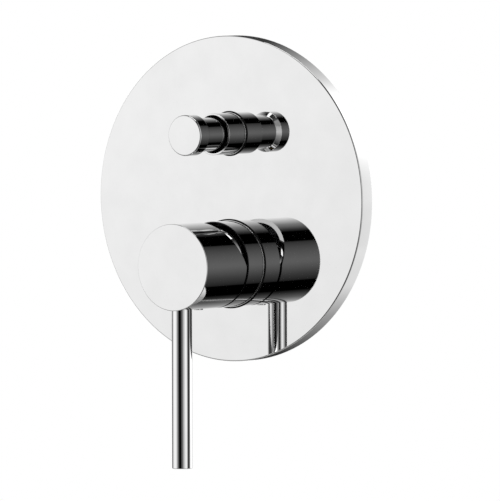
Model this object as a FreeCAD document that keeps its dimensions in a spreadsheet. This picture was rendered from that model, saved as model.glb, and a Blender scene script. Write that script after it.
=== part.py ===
import FreeCAD, Part
import os
import Sketcher
from FreeCAD import Placement, Rotation, Vector

# Built-in single-lever shower mixer with a pull diverter, on a round cover plate.
# Row frame: origin at the plate's centre in the wall plane, +Z up, the room at -Y.
# Turned pieces are drawn in a frame of their own, in which +Z points out of the wall,
# so a height there is a distance in front of the wall plane and a negative one is inside the wall.

doc = FreeCAD.newDocument("shower_diverter_valve")

# Driving sizes in millimetres and degrees
driving_sizes = [
    ("plate_dia", 170.0, "cover plate, outside"),
    ("plate_depth", 9.0, "cover plate, wall plane to front face"),
    ("plate_wall", 2.5, "cover plate, thickness of the front"),
    ("plate_rim", 4.0, "cover plate, thickness of the rim"),
    ("plate_round", 0.6, "cover plate, rounding of the front edge"),
    ("gasket_width", 4.0, "foam gasket behind the plate"),
    ("axis_drop", 34.0, "mixer axis below the plate's centre"),
    ("axis_rise", 34.0, "diverter axis above the plate's centre"),
    ("edge_round", 0.35, "rounding of the chrome pieces' visible edges"),
    ("sleeve_round", 0.2, "sleeves, rounding of their front edges"),
    ("thread_gap", 0.1, "radial play in a screwed or plugged fit"),
    ("run_gap", 0.08, "radial play of a turning or sliding shaft"),
    ("side_gap", 0.3, "play between guided flat sides"),
    ("face_gap", 0.1, "play between faces that slide on each other"),
    ("cartridge_dia", 35.0, "cartridge, outside"),
    ("barrel_wall", 2.15, "wall of the cartridge barrel"),
    ("barrel_reach", 12.5, "barrel in front of the plate's face"),
    ("sleeve_wall", 2.65, "mixer sleeve at its threaded land"),
    ("sleeve_reach", 13.65, "mixer sleeve in front of the plate's face"),
    ("sleeve_tail", 7.0, "mixer sleeve behind the plate's face"),
    ("sleeve_land", 10.0, "length of the sleeve's threaded land"),
    ("sleeve_relief", 1.95, "sleeve's thin mouth wider than its land"),
    ("ring_lip", 0.85, "rubber rings, lip beyond the sleeve"),
    ("ring_height", 1.0, "rubber rings, height on the plate"),
    ("ring_wall", 0.45, "rubber rings, wall in the plate's hole"),
    ("ring_gap", 0.05, "rubber rings, play on the sleeve and in the plate"),
    ("pivot_reach", 10.0, "stem's pivot in front of the plate's face"),
    ("cap_gap", 1.8, "domed cap to the sleeve's mouth"),
    ("cap_wall", 1.45, "domed cap, wall"),
    ("cap_mouth", 34.6, "domed cap, diameter of its mouth"),
    ("nut_flange", 2.4, "cartridge nut, thickness of its flange"),
    ("nut_thread", 4.0, "cartridge nut, length of its thread"),
    ("shell_wall", 2.5, "cartridge shell, side wall"),
    ("shell_roof", 2.1, "cartridge shell, thickness of its roof"),
    ("shell_neck_wall", 1.9, "cartridge shell, wall of its neck"),
    ("shell_neck", 5.0, "cartridge shell, height of its neck"),
    ("rotor_neck_dia", 24.1, "rotor, neck"),
    ("rotor_flange", 2.5, "rotor, thickness of its flange"),
    ("rotor_top", 4.5, "rotor, height above the pivot"),
    ("guide_width", 12.0, "rotor's guides, length along the slide"),
    ("guide_wall", 2.7, "rotor's guides, thickness"),
    ("pin_dia", 4.0, "pivot pin"),
    ("pin_inset", 1.5, "pivot pin's ends below the rotor's neck"),
    ("stem_side", 8.0, "stem, side of its square"),
    ("stem_swing", 14.0, "rotor's slot along the stem's swing"),
    ("stem_reach", 26.0, "stem in front of its pivot"),
    ("stem_foot", 4.0, "square of the stem behind its pivot"),
    ("finger_reach", 9.0, "centre of the stem's ball behind the pivot"),
    ("finger_dia", 3.2, "stem, finger above the ball"),
    ("ball_dia", 5.2, "stem, ball"),
    ("driver_plate", 3.0, "disc driver, plate"),
    ("driver_block", 5.5, "disc driver, height of its block"),
    ("driver_block_x", 12.6, "disc driver, block between the guides"),
    ("driver_block_y", 10.0, "disc driver, block along the slide"),
    ("driver_floor", 0.8, "disc driver, floor under the ball's hole"),
    ("moving_disc_dia", 21.6, "moving ceramic disc"),
    ("disc_depth", 3.5, "ceramic discs, thickness"),
    ("recess_dia", 11.2, "moving disc, mixing recess"),
    ("recess_shift", 2.2, "moving disc, recess above the axis"),
    ("recess_depth", 1.5, "moving disc, depth of the recess"),
    ("base_depth", 5.0, "cartridge base, thickness"),
    ("port_hole_dia", 5.4, "water ways through base and discs"),
    ("inlet_side", 6.0, "inlet ways beside the axis"),
    ("inlet_low", 4.0, "inlet ways below the axis"),
    ("mixed_high", 6.5, "mixed way above the axis"),
    ("seal_width", 1.6, "base seals, width round the way"),
    ("seal_depth", 1.6, "base seals, height"),
    ("handle_gap", 1.95, "gap between sleeve and handle"),
    ("handle_length", 34.2, "handle, back to front face"),
    ("handle_wall", 2.0, "handle, skirt"),
    ("handle_nose", 14.8, "handle, solid front"),
    ("boss_dia", 18.0, "handle, boss round the stem"),
    ("boss_reach", 13.0, "handle, boss behind the solid front"),
    ("rib_width", 8.0, "handle, rib with the set screw"),
    ("rib_reach", 10.6, "handle, rib behind the solid front"),
    ("relief_angle", 26.0, "handle, slant of its relieved back"),
    ("relief_low", 0.4, "handle, start of the slant below the axis"),
    ("socket_depth", 14.5, "handle, depth of the stem's socket"),
    ("lever_dia", 10.5, "lever"),
    ("lever_setback", 8.05, "lever's axis behind the handle's face"),
    ("lever_drop", 104.5, "lever's end below the mixer axis"),
    ("lever_depth", 9.5, "lever sunk in the handle"),
    ("stud_dia", 6.0, "lever, threaded stud"),
    ("stud_length", 8.0, "lever, length of the stud"),
    ("screw_setback", 14.15, "set screw behind the lever's axis"),
    ("screw_dia", 5.0, "set screw"),
    ("screw_length", 8.0, "set screw, length"),
    ("screw_key", 2.5, "set screw, key across flats"),
    ("screw_key_depth", 3.0, "set screw, depth of its key"),
    ("plug_length", 6.0, "plug over the set screw"),
    ("plug_proud", 0.4, "plug, proud of the handle"),
    ("knob_dia", 21.2, "diverter knob, head"),
    ("knob_head", 7.5, "diverter knob, length of its head"),
    ("knob_length", 23.4, "diverter knob, back to face"),
    ("knob_waist", 17.6, "diverter knob, neck"),
    ("knob_cone", 1.95, "diverter knob, length of the cone between neck and head"),
    ("knob_edge", 0.7, "diverter knob, rounding of the face's edge"),
    ("knob_gap", 1.2, "gap between collar and knob"),
    ("knob_tap", 11.5, "diverter knob, depth of its threaded hole"),
    ("collar_wall", 1.5, "diverter collar at its threaded land"),
    ("collar_reach", 14.6, "diverter collar in front of the plate's face"),
    ("collar_tail", 7.0, "diverter collar behind the plate's face"),
    ("collar_land", 12.0, "length of the collar's threaded land"),
    ("collar_relief", 0.9, "collar's thin mouth wider than its land"),
    ("wiper_depth", 3.0, "wiper ring in the collar's mouth, thickness"),
    ("wiper_gap", 0.2, "wiper ring to the collar and to the spindle"),
    ("spindle_dia", 6.0, "diverter spindle"),
    ("spindle_thread", 5.0, "diverter spindle, its two threaded ends"),
    ("spindle_tip", 10.0, "diverter spindle, thread in the knob"),
    ("pull_travel", 8.0, "diverter's travel"),
    ("seat_gap", 0.2, "diverter's seals to their seats"),
    ("piston_dia", 17.6, "diverter piston"),
    ("piston_depth", 4.0, "diverter piston, thickness"),
    ("washer_depth", 1.0, "piston's rubber washers, thickness"),
    ("washer_dia", 17.2, "piston's rubber washers"),
    ("washer_bore", 11.4, "piston's rubber washers, hole"),
    ("piston_nut_side", 8.0, "piston nut, across flats"),
    ("piston_nut_depth", 3.5, "piston nut, thickness"),
    ("spindle_end", 2.0, "spindle beyond the piston nut"),
    ("bonnet_nose_dia", 18.6, "bonnet, thread for the collar"),
    ("bonnet_nose", 11.0, "bonnet, length of that thread"),
    ("bonnet_flange_dia", 27.0, "bonnet, flange"),
    ("bonnet_flange", 4.0, "bonnet, thickness of its flange"),
    ("bonnet_thread_dia", 21.9, "bonnet, thread in the body"),
    ("bonnet_thread", 12.0, "bonnet, length of that thread"),
    ("cage_dia", 17.6, "bonnet, cage"),
    ("cage_length", 5.0, "bonnet, length of its cage"),
    ("cage_foot", 3.0, "bonnet, sealing foot of its cage"),
    ("cage_bore", 12.4, "bonnet, bore for the spring"),
    ("cage_head", 10.0, "bonnet, spring's seat above the mouth"),
    ("window_dia", 4.0, "bonnet, windows in its cage"),
    ("window_count", 4.0, "bonnet, number of windows"),
    ("o_ring_cord", 1.4, "O-rings, thickness of the cord"),
    ("groove_play", 0.2, "O-ring grooves wider than the cord"),
    ("gland_pitch", 4.0, "spindle's two O-rings, spacing"),
    ("spring_wire", 1.0, "return spring, wire"),
    ("spring_dia", 9.2, "return spring, middle of the wire"),
    ("spring_turns", 6.0, "return spring, turns"),
    ("casting_back", 2.0, "body's front behind the wall plane"),
    ("chamber_wall", 4.4, "body, wall round the cartridge"),
    ("chamber_floor", 21.0, "body, depth behind the cartridge"),
    ("port_depth", 19.0, "ports' axes behind the wall plane"),
    ("port_boss_dia", 26.0, "ports, outside"),
    ("port_thread_dia", 18.6, "ports, bore of the half-inch thread"),
    ("port_thread", 15.0, "ports, length of the thread"),
    ("port_way_dia", 12.0, "inlets, way behind the thread"),
    ("port_web", 10.0, "wall between the two inlets"),
    ("inlet_reach", 42.0, "inlets' mouths beside the axis"),
    ("outlet_reach", 72.0, "outlets' mouths above and below the centre"),
    ("way_dia", 9.0, "drilled ways inside the body"),
    ("way_wall", 3.0, "wall round those ways"),
    ("mixed_depth", 29.0, "mixed way behind the wall plane"),
    ("upper_way_depth", 17.5, "way to the upper outlet behind the wall plane"),
    ("upper_way_dia", 8.0, "way to the upper outlet"),
    ("way_web", 2.0, "wall between the mixed way and the way to the lower outlet"),
    ("return_low", 58.0, "turn of that way below the centre"),
    ("diverter_wall", 3.5, "body, wall round the diverter"),
    ("middle_dia", 19.0, "body, diverter chamber between the seats"),
    ("rear_way_dia", 13.0, "body, way behind the rear seat"),
    ("lug_spacing", 56.0, "fixing lugs, hole to hole"),
    ("lug_hole", 5.5, "fixing lugs, holes"),
    ("lug_width", 14.0, "fixing lugs, width"),
    ("lug_depth", 6.0, "fixing lugs, thickness"),
]

# Places and fits worked out from the driving sizes
worked_out = [
    ("plate_back", "=sizes.plate_depth - sizes.plate_wall"),
    ("cartridge_r", "=sizes.cartridge_dia / 2"),
    ("barrel_bore_r", "=cartridge_r + sizes.thread_gap"),
    ("barrel_r", "=barrel_bore_r + sizes.barrel_wall"),
    ("barrel_front", "=sizes.plate_depth + sizes.barrel_reach"),
    ("sleeve_land_r", "=barrel_r + sizes.thread_gap"),
    ("sleeve_r", "=sleeve_land_r + sizes.sleeve_wall"),
    ("sleeve_mouth_r", "=sleeve_land_r + sizes.sleeve_relief"),
    ("sleeve_back", "=sizes.plate_depth - sizes.sleeve_tail"),
    ("sleeve_step", "=sleeve_back + sizes.sleeve_land"),
    ("sleeve_front", "=sizes.plate_depth + sizes.sleeve_reach"),
    ("sleeve_ring_r", "=sleeve_r + sizes.ring_gap"),
    ("sleeve_spigot_r", "=sleeve_ring_r + sizes.ring_wall"),
    ("pivot_at", "=sizes.plate_depth + sizes.pivot_reach"),
    ("cap_lip_r", "=sleeve_mouth_r - sizes.cap_gap"),
    ("cap_r", "=sqrt(cap_lip_r ^ 2 + (sleeve_front - pivot_at) ^ 2)"),
    ("cap_base_r", "=sqrt(cap_r ^ 2 - (barrel_front - pivot_at) ^ 2)"),
    ("cap_inner_r", "=cap_r - sizes.cap_wall"),
    ("cap_mouth_r", "=sizes.cap_mouth / 2"),
    ("nut_flange_r", "=cartridge_r + 5 * sizes.thread_gap"),
    ("cap_thread_r", "=nut_flange_r + sizes.thread_gap"),
    ("nut_seat", "=barrel_front + sizes.face_gap"),
    ("shoulder", "=barrel_front - sizes.nut_thread"),
    ("shell_in_r", "=cartridge_r - sizes.shell_wall"),
    ("shell_ceiling", "=shoulder - sizes.shell_roof"),
    ("rotor_neck_r", "=sizes.rotor_neck_dia / 2"),
    ("rotor_bore_r", "=rotor_neck_r + sizes.run_gap"),
    ("shell_neck_r", "=rotor_bore_r + sizes.shell_neck_wall"),
    ("shell_top", "=shoulder + sizes.shell_neck"),
    ("nut_bore_r", "=shell_neck_r + 2 * sizes.thread_gap"),
    ("rotor_shelf", "=shell_ceiling - sizes.face_gap"),
    ("rotor_back", "=rotor_shelf - sizes.rotor_flange"),
    ("rotor_flange_r", "=shell_in_r - sizes.side_gap"),
    ("rotor_front", "=pivot_at + sizes.rotor_top"),
    ("ball_at", "=pivot_at - sizes.finger_reach"),
    ("driver_hole_r", "=sizes.ball_dia / 2 + sizes.side_gap"),
    ("driver_floor_at", "=ball_at - driver_hole_r - sizes.driver_floor"),
    ("driver_step", "=driver_floor_at + sizes.side_gap"),
    ("driver_back", "=driver_step - sizes.driver_plate"),
    ("driver_front", "=driver_step + sizes.driver_block"),
    ("guide_end", "=driver_step + sizes.side_gap"),
    ("guide_in", "=sizes.driver_block_x / 2 + sizes.side_gap"),
    ("disc_film", "=driver_back - sizes.disc_depth"),
    ("fixed_top", "=disc_film - sizes.face_gap / 2"),
    ("base_top", "=fixed_top - sizes.disc_depth"),
    ("chamber_end", "=base_top - sizes.base_depth"),
    ("handle_back", "=sleeve_front + sizes.handle_gap"),
    ("handle_face", "=handle_back + sizes.handle_length"),
    ("handle_in_r", "=sleeve_r - sizes.handle_wall"),
    ("handle_inner", "=handle_face - sizes.handle_nose"),
    ("boss_back", "=handle_inner - sizes.boss_reach"),
    ("rib_back", "=handle_inner - sizes.rib_reach"),
    ("lever_at", "=handle_face - sizes.lever_setback"),
    ("screw_at", "=lever_at - sizes.screw_setback"),
    ("lever_top", "=sleeve_r - sizes.lever_depth"),
    ("screw_low", "=sizes.stem_side / 2 + sizes.screw_length"),
    ("collar_land_r", "=sizes.bonnet_nose_dia / 2 + sizes.thread_gap"),
    ("collar_r", "=collar_land_r + sizes.collar_wall"),
    ("collar_mouth_r", "=collar_land_r + sizes.collar_relief"),
    ("collar_back", "=sizes.plate_depth - sizes.collar_tail"),
    ("collar_step", "=collar_back + sizes.collar_land"),
    ("collar_front", "=sizes.plate_depth + sizes.collar_reach"),
    ("collar_ring_r", "=collar_r + sizes.ring_gap"),
    ("collar_spigot_r", "=collar_ring_r + sizes.ring_wall"),
    ("knob_back", "=collar_front + sizes.knob_gap"),
    ("knob_face", "=knob_back + sizes.knob_length"),
    ("casting_front", "=-sizes.casting_back"),
    ("bonnet_step", "=casting_front + sizes.bonnet_flange"),
    ("bonnet_front", "=bonnet_step + sizes.bonnet_nose"),
    ("cage_top", "=casting_front - sizes.bonnet_thread"),
    ("foot_top", "=cage_top - sizes.cage_length"),
    ("bonnet_mouth", "=foot_top - sizes.cage_foot"),
    ("spring_seat", "=bonnet_mouth + sizes.cage_head"),
    ("bonnet_bore_r", "=sizes.bonnet_thread_dia / 2 + sizes.thread_gap / 2"),
    ("groove_r", "=bonnet_bore_r - sizes.o_ring_cord"),
    ("groove_half", "=(sizes.o_ring_cord + sizes.groove_play) / 2"),
    ("foot_middle", "=foot_top - sizes.cage_foot / 2"),
    ("spindle_r", "=sizes.spindle_dia / 2"),
    ("spindle_bore_r", "=spindle_r + sizes.run_gap"),
    ("gland_r", "=spindle_bore_r + sizes.o_ring_cord"),
    ("gland_middle", "=bonnet_front - sizes.bonnet_nose / 2"),
    ("front_washer_at", "=bonnet_mouth - sizes.pull_travel - sizes.seat_gap"),
    ("piston_front", "=front_washer_at - sizes.washer_depth"),
    ("piston_back", "=piston_front - sizes.piston_depth"),
    ("rear_washer_at", "=piston_back - sizes.washer_depth"),
    ("rear_seat", "=rear_washer_at - sizes.seat_gap"),
    ("thread_bore_r", "=sizes.spindle_thread / 2 + sizes.thread_gap / 2"),
    ("spindle_tail", "=piston_back - sizes.piston_nut_depth - sizes.spindle_end"),
    ("chamber_r", "=barrel_bore_r + sizes.chamber_wall"),
    ("chamber_back", "=chamber_end - sizes.chamber_floor"),
    ("way_boss_r", "=sizes.way_dia / 2 + sizes.way_wall"),
    ("diverter_r", "=bonnet_bore_r + sizes.diverter_wall"),
    ("return_depth", "=sizes.mixed_depth + sizes.way_dia + sizes.way_web"),
    ("diverter_back", "=-return_depth - way_boss_r - 1"),
]

sizes = doc.addObject("Spreadsheet::Sheet", "sizes")
for line, (alias, number, note) in enumerate(driving_sizes, start=1):
    sizes.set(f"A{line}", note)
    sizes.set(f"B{line}", str(number))
    sizes.setAlias(f"B{line}", alias)
doc.recompute()

fits = doc.addObject("Spreadsheet::Sheet", "fits")
for line, (alias, formula) in enumerate(worked_out, start=1):
    fits.set(f"B{line}", formula)
    fits.setAlias(f"B{line}", alias)
doc.recompute()

out_of_wall = Rotation(Vector(1, 0, 0), 90)
to_the_right = Rotation(Vector(0, 1, 0), 90)
mixer_axis = "-sizes.axis_drop"
diverter_axis = "sizes.axis_rise"
sub_parts = []


def value(expression):
    return float(sizes.evalExpression(expression))


def keep(piece, label):
    piece.Label = label
    sub_parts.append(piece)
    return piece


def seat(piece, height, turn=out_of_wall, forward="0"):
    # Put a piece on its axis: height up the wall, forward out of it
    piece.Placement = Placement(Vector(0, -value(forward), value(height)), turn)
    piece.setExpression("Placement.Base.y", f"-({forward})")
    piece.setExpression("Placement.Base.z", height)


def new_body(label, height, turn=out_of_wall, forward="0"):
    body = doc.addObject("PartDesign::Body", label)
    seat(body, height, turn, forward)
    return keep(body, label)


def new_sketch(body, name, role, level=None):
    # A sketch on one of the body's origin planes, or level above it
    sketch = body.newObject("Sketcher::SketchObject", name)
    plane = next(item for item in body.Origin.OriginFeatures if item.Role == role)
    sketch.AttachmentSupport = [(plane, "")]
    sketch.MapMode = "FlatFace"
    if level is not None:
        sketch.setExpression("AttachmentOffset.Base.z", level)
    return sketch


def bind(sketch, kind, geometry, point, expression):
    number = value(expression)
    index = sketch.addConstraint(Sketcher.Constraint(kind, -1, 1, geometry, point, number))
    sketch.setExpression(f"Constraints[{index}]", expression)


def outline(sketch, points, arcs={}):
    # Closed outline. Each point is a pair of expressions, with None for a coordinate that the arc gives.
    # arcs: number of the point an arc starts from, with its centre and whether it runs clockwise
    places = []
    for number, (across, along) in enumerate(points):
        x = value(across)
        if along is None:
            centre_x, centre_y, clockwise = arcs[number - 1]
            before = places[-1]
            reach = (before - Vector(value(centre_x), value(centre_y), 0)).Length
            places.append(Vector(x, value(centre_y) + (reach ** 2 - (x - value(centre_x)) ** 2) ** 0.5, 0))
        else:
            places.append(Vector(x, value(along), 0))
    ends = []
    count = len(points)
    for number in range(count):
        here = places[number]
        there = places[(number + 1) % count]
        if number in arcs:
            centre_x, centre_y, clockwise = arcs[number]
            centre = Vector(value(centre_x), value(centre_y), 0)
            first, last = (there, here) if clockwise else (here, there)
            circle = Part.Circle(centre, Vector(0, 0, 1), (here - centre).Length)
            arc = Part.ArcOfCircle(circle, circle.parameter(first), circle.parameter(last))
            geometry = sketch.addGeometry(arc, False)
            bind(sketch, "DistanceX", geometry, 3, centre_x)
            bind(sketch, "DistanceY", geometry, 3, centre_y)
            ends.append((geometry, 2, 1) if clockwise else (geometry, 1, 2))
        else:
            ends.append((sketch.addGeometry(Part.LineSegment(here, there), False), 1, 2))
    for number in range(count):
        geometry, start, end = ends[number]
        following, following_start, unused = ends[(number + 1) % count]
        sketch.addConstraint(Sketcher.Constraint("Coincident", geometry, end, following, following_start))
        bind(sketch, "DistanceX", geometry, start, points[number][0])
        if points[number][1] is not None:
            bind(sketch, "DistanceY", geometry, start, points[number][1])


def box_outline(sketch, low_x, low_y, high_x, high_y):
    outline(sketch, [(low_x, low_y), (high_x, low_y), (high_x, high_y), (low_x, high_y)])


def circles(sketch, radius, centres):
    for across, along in centres:
        middle = Vector(value(across), value(along), 0)
        geometry = sketch.addGeometry(Part.Circle(middle, Vector(0, 0, 1), value(radius)), False)
        bind(sketch, "DistanceX", geometry, 3, across)
        bind(sketch, "DistanceY", geometry, 3, along)
        index = sketch.addConstraint(Sketcher.Constraint("Radius", geometry, value(radius)))
        sketch.setExpression(f"Constraints[{index}]", radius)


def revolve(body, name, points, arcs={}):
    # Turn an outline of (radius, height) about the body's own Z axis
    sketch = new_sketch(body, name + "_outline", "XZ_Plane")
    outline(sketch, points, arcs)
    turned = body.newObject("PartDesign::Revolution", name)
    turned.Profile = sketch
    turned.ReferenceAxis = (sketch, ["V_Axis"])
    turned.Angle = 360
    doc.recompute()
    return turned


def pad(body, name, sketch, length, reverse=False):
    feature = body.newObject("PartDesign::Pad", name)
    feature.Profile = sketch
    feature.setExpression("Length", length)
    feature.Reversed = reverse
    doc.recompute()
    return feature


def pocket(body, name, sketch, length=None, reverse=False, middle=False):
    # A cut along the sketch's normal, right through where no length is given
    before = body.Shape.Volume
    feature = body.newObject("PartDesign::Pocket", name)
    feature.Profile = sketch
    if length is None:
        feature.Type = "ThroughAll"
    else:
        feature.setExpression("Length", length)
    feature.Midplane = middle
    feature.Reversed = reverse
    doc.recompute()
    if body.Shape.Volume > before - 1e-6:
        raise RuntimeError(f"{body.Label}: {name} cuts nothing")
    return feature


def round_rims(body, name, radius, rims):
    # Round the circular edges given by radius and height in the body's own frame
    base = body.Tip
    wanted = [(value(rim), value(height)) for rim, height in rims]
    edges = []
    for number, edge in enumerate(base.Shape.Edges, start=1):
        if not isinstance(edge.Curve, Part.Circle):
            continue
        for rim, height in wanted:
            if abs(edge.Curve.Radius - rim) < 1e-4 and abs(edge.Curve.Center.z - height) < 1e-4:
                edges.append(f"Edge{number}")
    if len(edges) < len(wanted):
        raise RuntimeError(f"{body.Label}: an edge for {name} is missing")
    fillet = body.newObject("PartDesign::Fillet", name)
    fillet.Base = (base, edges)
    fillet.setExpression("Radius", radius)
    doc.recompute()
    return fillet


def cylinder(name, radius, start, end, direction, first, second):
    # A plain cylinder from start to end. Forward: first is x and second the height.
    # Right: first is forward and second the height. Up: first is x and second is forward.
    piece = doc.addObject("Part::Cylinder", name)
    piece.setExpression("Radius", radius)
    piece.setExpression("Height", f"({end}) - ({start})")
    if direction == "forward":
        places, turn = (first, f"-({start})", second), out_of_wall
    elif direction == "right":
        places, turn = (start, f"-({first})", second), to_the_right
    else:
        places, turn = (first, f"-({second})", start), Rotation()
    piece.Placement = Placement(Vector(*[value(place) for place in places]), turn)
    for letter, place in zip("xyz", places):
        piece.setExpression(f"Placement.Base.{letter}", place)
    return piece


def join(name, pieces):
    fused = doc.addObject("Part::MultiFuse", name)
    fused.Shapes = pieces
    fused.Refine = False
    return fused


def take_away(name, base, tool):
    cut = doc.addObject("Part::Cut", name)
    cut.Base = base
    cut.Tool = tool
    cut.Refine = False
    return cut


def group(label, pieces):
    # Loose pieces of one kind that share a node
    compound = doc.addObject("Part::Compound", label)
    compound.Links = pieces
    return keep(compound, label)


def flat_ring(name, out_radius, in_radius, start, end, across, height):
    outer = cylinder(name + "_outside", out_radius, start, end, "forward", across, height)
    inner = cylinder(name + "_hole", in_radius, start, end, "forward", across, height)
    return take_away(name, outer, inner)


def o_ring(name, middle_radius, cord_radius, forward, height):
    ring = doc.addObject("Part::Torus", name)
    ring.setExpression("Radius1", middle_radius)
    ring.setExpression("Radius2", cord_radius)
    seat(ring, height, out_of_wall, forward)
    return ring


# Cover plate: a hollow-backed disc with a hole for each sleeve
plate = new_body("cover_plate", "0")
revolve(plate, "plate_shell", [
    ("0", "fits.plate_back"),
    ("sizes.plate_dia / 2 - sizes.plate_rim", "fits.plate_back"),
    ("sizes.plate_dia / 2 - sizes.plate_rim", "0"),
    ("sizes.plate_dia / 2", "0"),
    ("sizes.plate_dia / 2", "sizes.plate_depth"),
    ("0", "sizes.plate_depth"),
])
plate_holes = new_sketch(plate, "plate_hole_outline", "XY_Plane")
circles(plate_holes, "fits.sleeve_spigot_r + sizes.ring_gap", [("0", mixer_axis)])
circles(plate_holes, "fits.collar_spigot_r + sizes.ring_gap", [("0", diverter_axis)])
pocket(plate, "plate_holes", plate_holes, reverse=True)
round_rims(plate, "plate_edge", "sizes.plate_round", [("sizes.plate_dia / 2", "sizes.plate_depth")])

# Foam ring in the plate's hollow, pressed on the wall
gasket = new_body("plate_gasket", "0")
gasket_r = "sizes.plate_dia / 2 - sizes.plate_rim - sizes.thread_gap"
revolve(gasket, "gasket_ring", [
    (gasket_r + " - sizes.gasket_width", "0"),
    (gasket_r, "0"),
    (gasket_r, "fits.plate_back"),
    (gasket_r + " - sizes.gasket_width", "fits.plate_back"),
])


def sleeve(label, height, start):
    # Chrome sleeve with a threaded land at the back and a wider mouth at the front
    body = new_body(label, height)
    revolve(body, label + "_tube", [
        (f"fits.{start}_land_r", f"fits.{start}_back"),
        (f"fits.{start}_r", f"fits.{start}_back"),
        (f"fits.{start}_r", f"fits.{start}_front"),
        (f"fits.{start}_mouth_r", f"fits.{start}_front"),
        (f"fits.{start}_mouth_r", f"fits.{start}_step"),
        (f"fits.{start}_land_r", f"fits.{start}_step"),
    ])
    round_rims(body, label + "_edge", "sizes.sleeve_round", [(f"fits.{start}_r", f"fits.{start}_front")])


def rubber_ring(label, height, start):
    # Ring with a spigot in the plate's hole and a lip that stands on the plate
    body = new_body(label, height)
    lip_r = f"fits.{start}_r + sizes.ring_lip"
    lip_front = "sizes.plate_depth + sizes.ring_height"
    revolve(body, label + "_section", [
        (f"fits.{start}_ring_r", "fits.plate_back"),
        (f"fits.{start}_spigot_r", "fits.plate_back"),
        (f"fits.{start}_spigot_r", "sizes.plate_depth"),
        (lip_r, "sizes.plate_depth"),
        (lip_r, lip_front),
        (f"fits.{start}_ring_r", lip_front),
    ])


sleeve("mixer_sleeve", mixer_axis, "sleeve")
rubber_ring("sleeve_ring", mixer_axis, "sleeve")
sleeve("diverter_collar", diverter_axis, "collar")
rubber_ring("collar_ring", diverter_axis, "collar")

# Domed ring over the cartridge nut, its dome centred on the stem's pivot
cap = new_body("cartridge_cap", mixer_axis)
revolve(cap, "cap_dome", [
    ("fits.cap_thread_r", "fits.barrel_front"),
    ("fits.cap_base_r", "fits.barrel_front"),
    ("fits.cap_mouth_r", None),
    ("fits.cap_mouth_r", "fits.pivot_at + sqrt(fits.cap_inner_r ^ 2 - fits.cap_mouth_r ^ 2)"),
    ("fits.cap_thread_r", None),
], arcs={1: ("0", "fits.pivot_at", False), 3: ("0", "fits.pivot_at", True)})

# Ring nut that clamps the cartridge in the barrel
nut = new_body("cartridge_nut", mixer_axis)
revolve(nut, "nut_ring", [
    ("fits.nut_bore_r", "fits.shoulder"),
    ("fits.cartridge_r", "fits.shoulder"),
    ("fits.cartridge_r", "fits.nut_seat"),
    ("fits.nut_flange_r", "fits.nut_seat"),
    ("fits.nut_flange_r", "fits.nut_seat + sizes.nut_flange"),
    ("fits.nut_bore_r", "fits.nut_seat + sizes.nut_flange"),
])

# Cartridge: shell, base with its seals, and the two ceramic discs
shell = new_body("cartridge_shell", mixer_axis)
revolve(shell, "shell_cup", [
    ("fits.shell_in_r", "fits.base_top"),
    ("fits.cartridge_r", "fits.base_top"),
    ("fits.cartridge_r", "fits.shoulder"),
    ("fits.shell_neck_r", "fits.shoulder"),
    ("fits.shell_neck_r", "fits.shell_top"),
    ("fits.rotor_bore_r", "fits.shell_top"),
    ("fits.rotor_bore_r", "fits.shell_ceiling"),
    ("fits.shell_in_r", "fits.shell_ceiling"),
])

water_ways = [
    ("-sizes.inlet_side", "-sizes.inlet_low"),
    ("sizes.inlet_side", "-sizes.inlet_low"),
    ("0", "sizes.mixed_high"),
]
way_r = "sizes.port_hole_dia / 2"
seal_r = "sizes.port_hole_dia / 2 + sizes.seal_width"


def round_plate(label, height, radius, start, end):
    body = new_body(label, height)
    revolve(body, label + "_disc", [("0", start), (radius, start), (radius, end), ("0", end)])
    return body


base = round_plate("cartridge_base", mixer_axis, "fits.cartridge_r", "fits.chamber_end", "fits.base_top")
base_ways = new_sketch(base, "base_way_outline", "XY_Plane", "fits.chamber_end")
circles(base_ways, way_r, water_ways)
pocket(base, "base_ways", base_ways, reverse=True)
seal_beds = new_sketch(base, "seal_bed_outline", "XY_Plane", "fits.chamber_end")
circles(seal_beds, seal_r + " + sizes.thread_gap", water_ways)
pocket(base, "seal_beds", seal_beds, "sizes.seal_depth", reverse=True)

group("base_seals", [
    flat_ring(f"base_seal_{number}", seal_r, way_r, "fits.chamber_end", "fits.chamber_end + sizes.seal_depth",
              across, f"{mixer_axis} + ({along})")
    for number, (across, along) in enumerate(water_ways, start=1)
])

fixed_disc = round_plate("fixed_disc", mixer_axis, "fits.shell_in_r - sizes.thread_gap",
                         "fits.base_top", "fits.fixed_top")
disc_ways = new_sketch(fixed_disc, "disc_way_outline", "XY_Plane", "fits.base_top")
circles(disc_ways, way_r, water_ways)
pocket(fixed_disc, "disc_ways", disc_ways, reverse=True)

moving_disc = round_plate("moving_disc", mixer_axis, "sizes.moving_disc_dia / 2",
                          "fits.disc_film", "fits.driver_back")
recess = new_sketch(moving_disc, "recess_outline", "XY_Plane", "fits.disc_film")
circles(recess, "sizes.recess_dia / 2", [("0", "sizes.recess_shift")])
pocket(moving_disc, "mixing_recess", recess, "sizes.recess_depth", reverse=True)

# Driver: slides between the rotor's guides and holds the stem's ball
driver = round_plate("disc_driver", mixer_axis, "sizes.moving_disc_dia / 2",
                     "fits.driver_back", "fits.driver_step")
block = new_sketch(driver, "block_outline", "XY_Plane", "fits.driver_step")
box_outline(block, "-sizes.driver_block_x / 2", "-sizes.driver_block_y / 2",
            "sizes.driver_block_x / 2", "sizes.driver_block_y / 2")
pad(driver, "driver_block", block, "sizes.driver_block")
ball_hole = new_sketch(driver, "ball_hole_outline", "XY_Plane", "fits.driver_front")
circles(ball_hole, "fits.driver_hole_r", [("0", "0")])
pocket(driver, "ball_hole", ball_hole, "fits.driver_front - fits.driver_floor_at - sizes.driver_floor")

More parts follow.
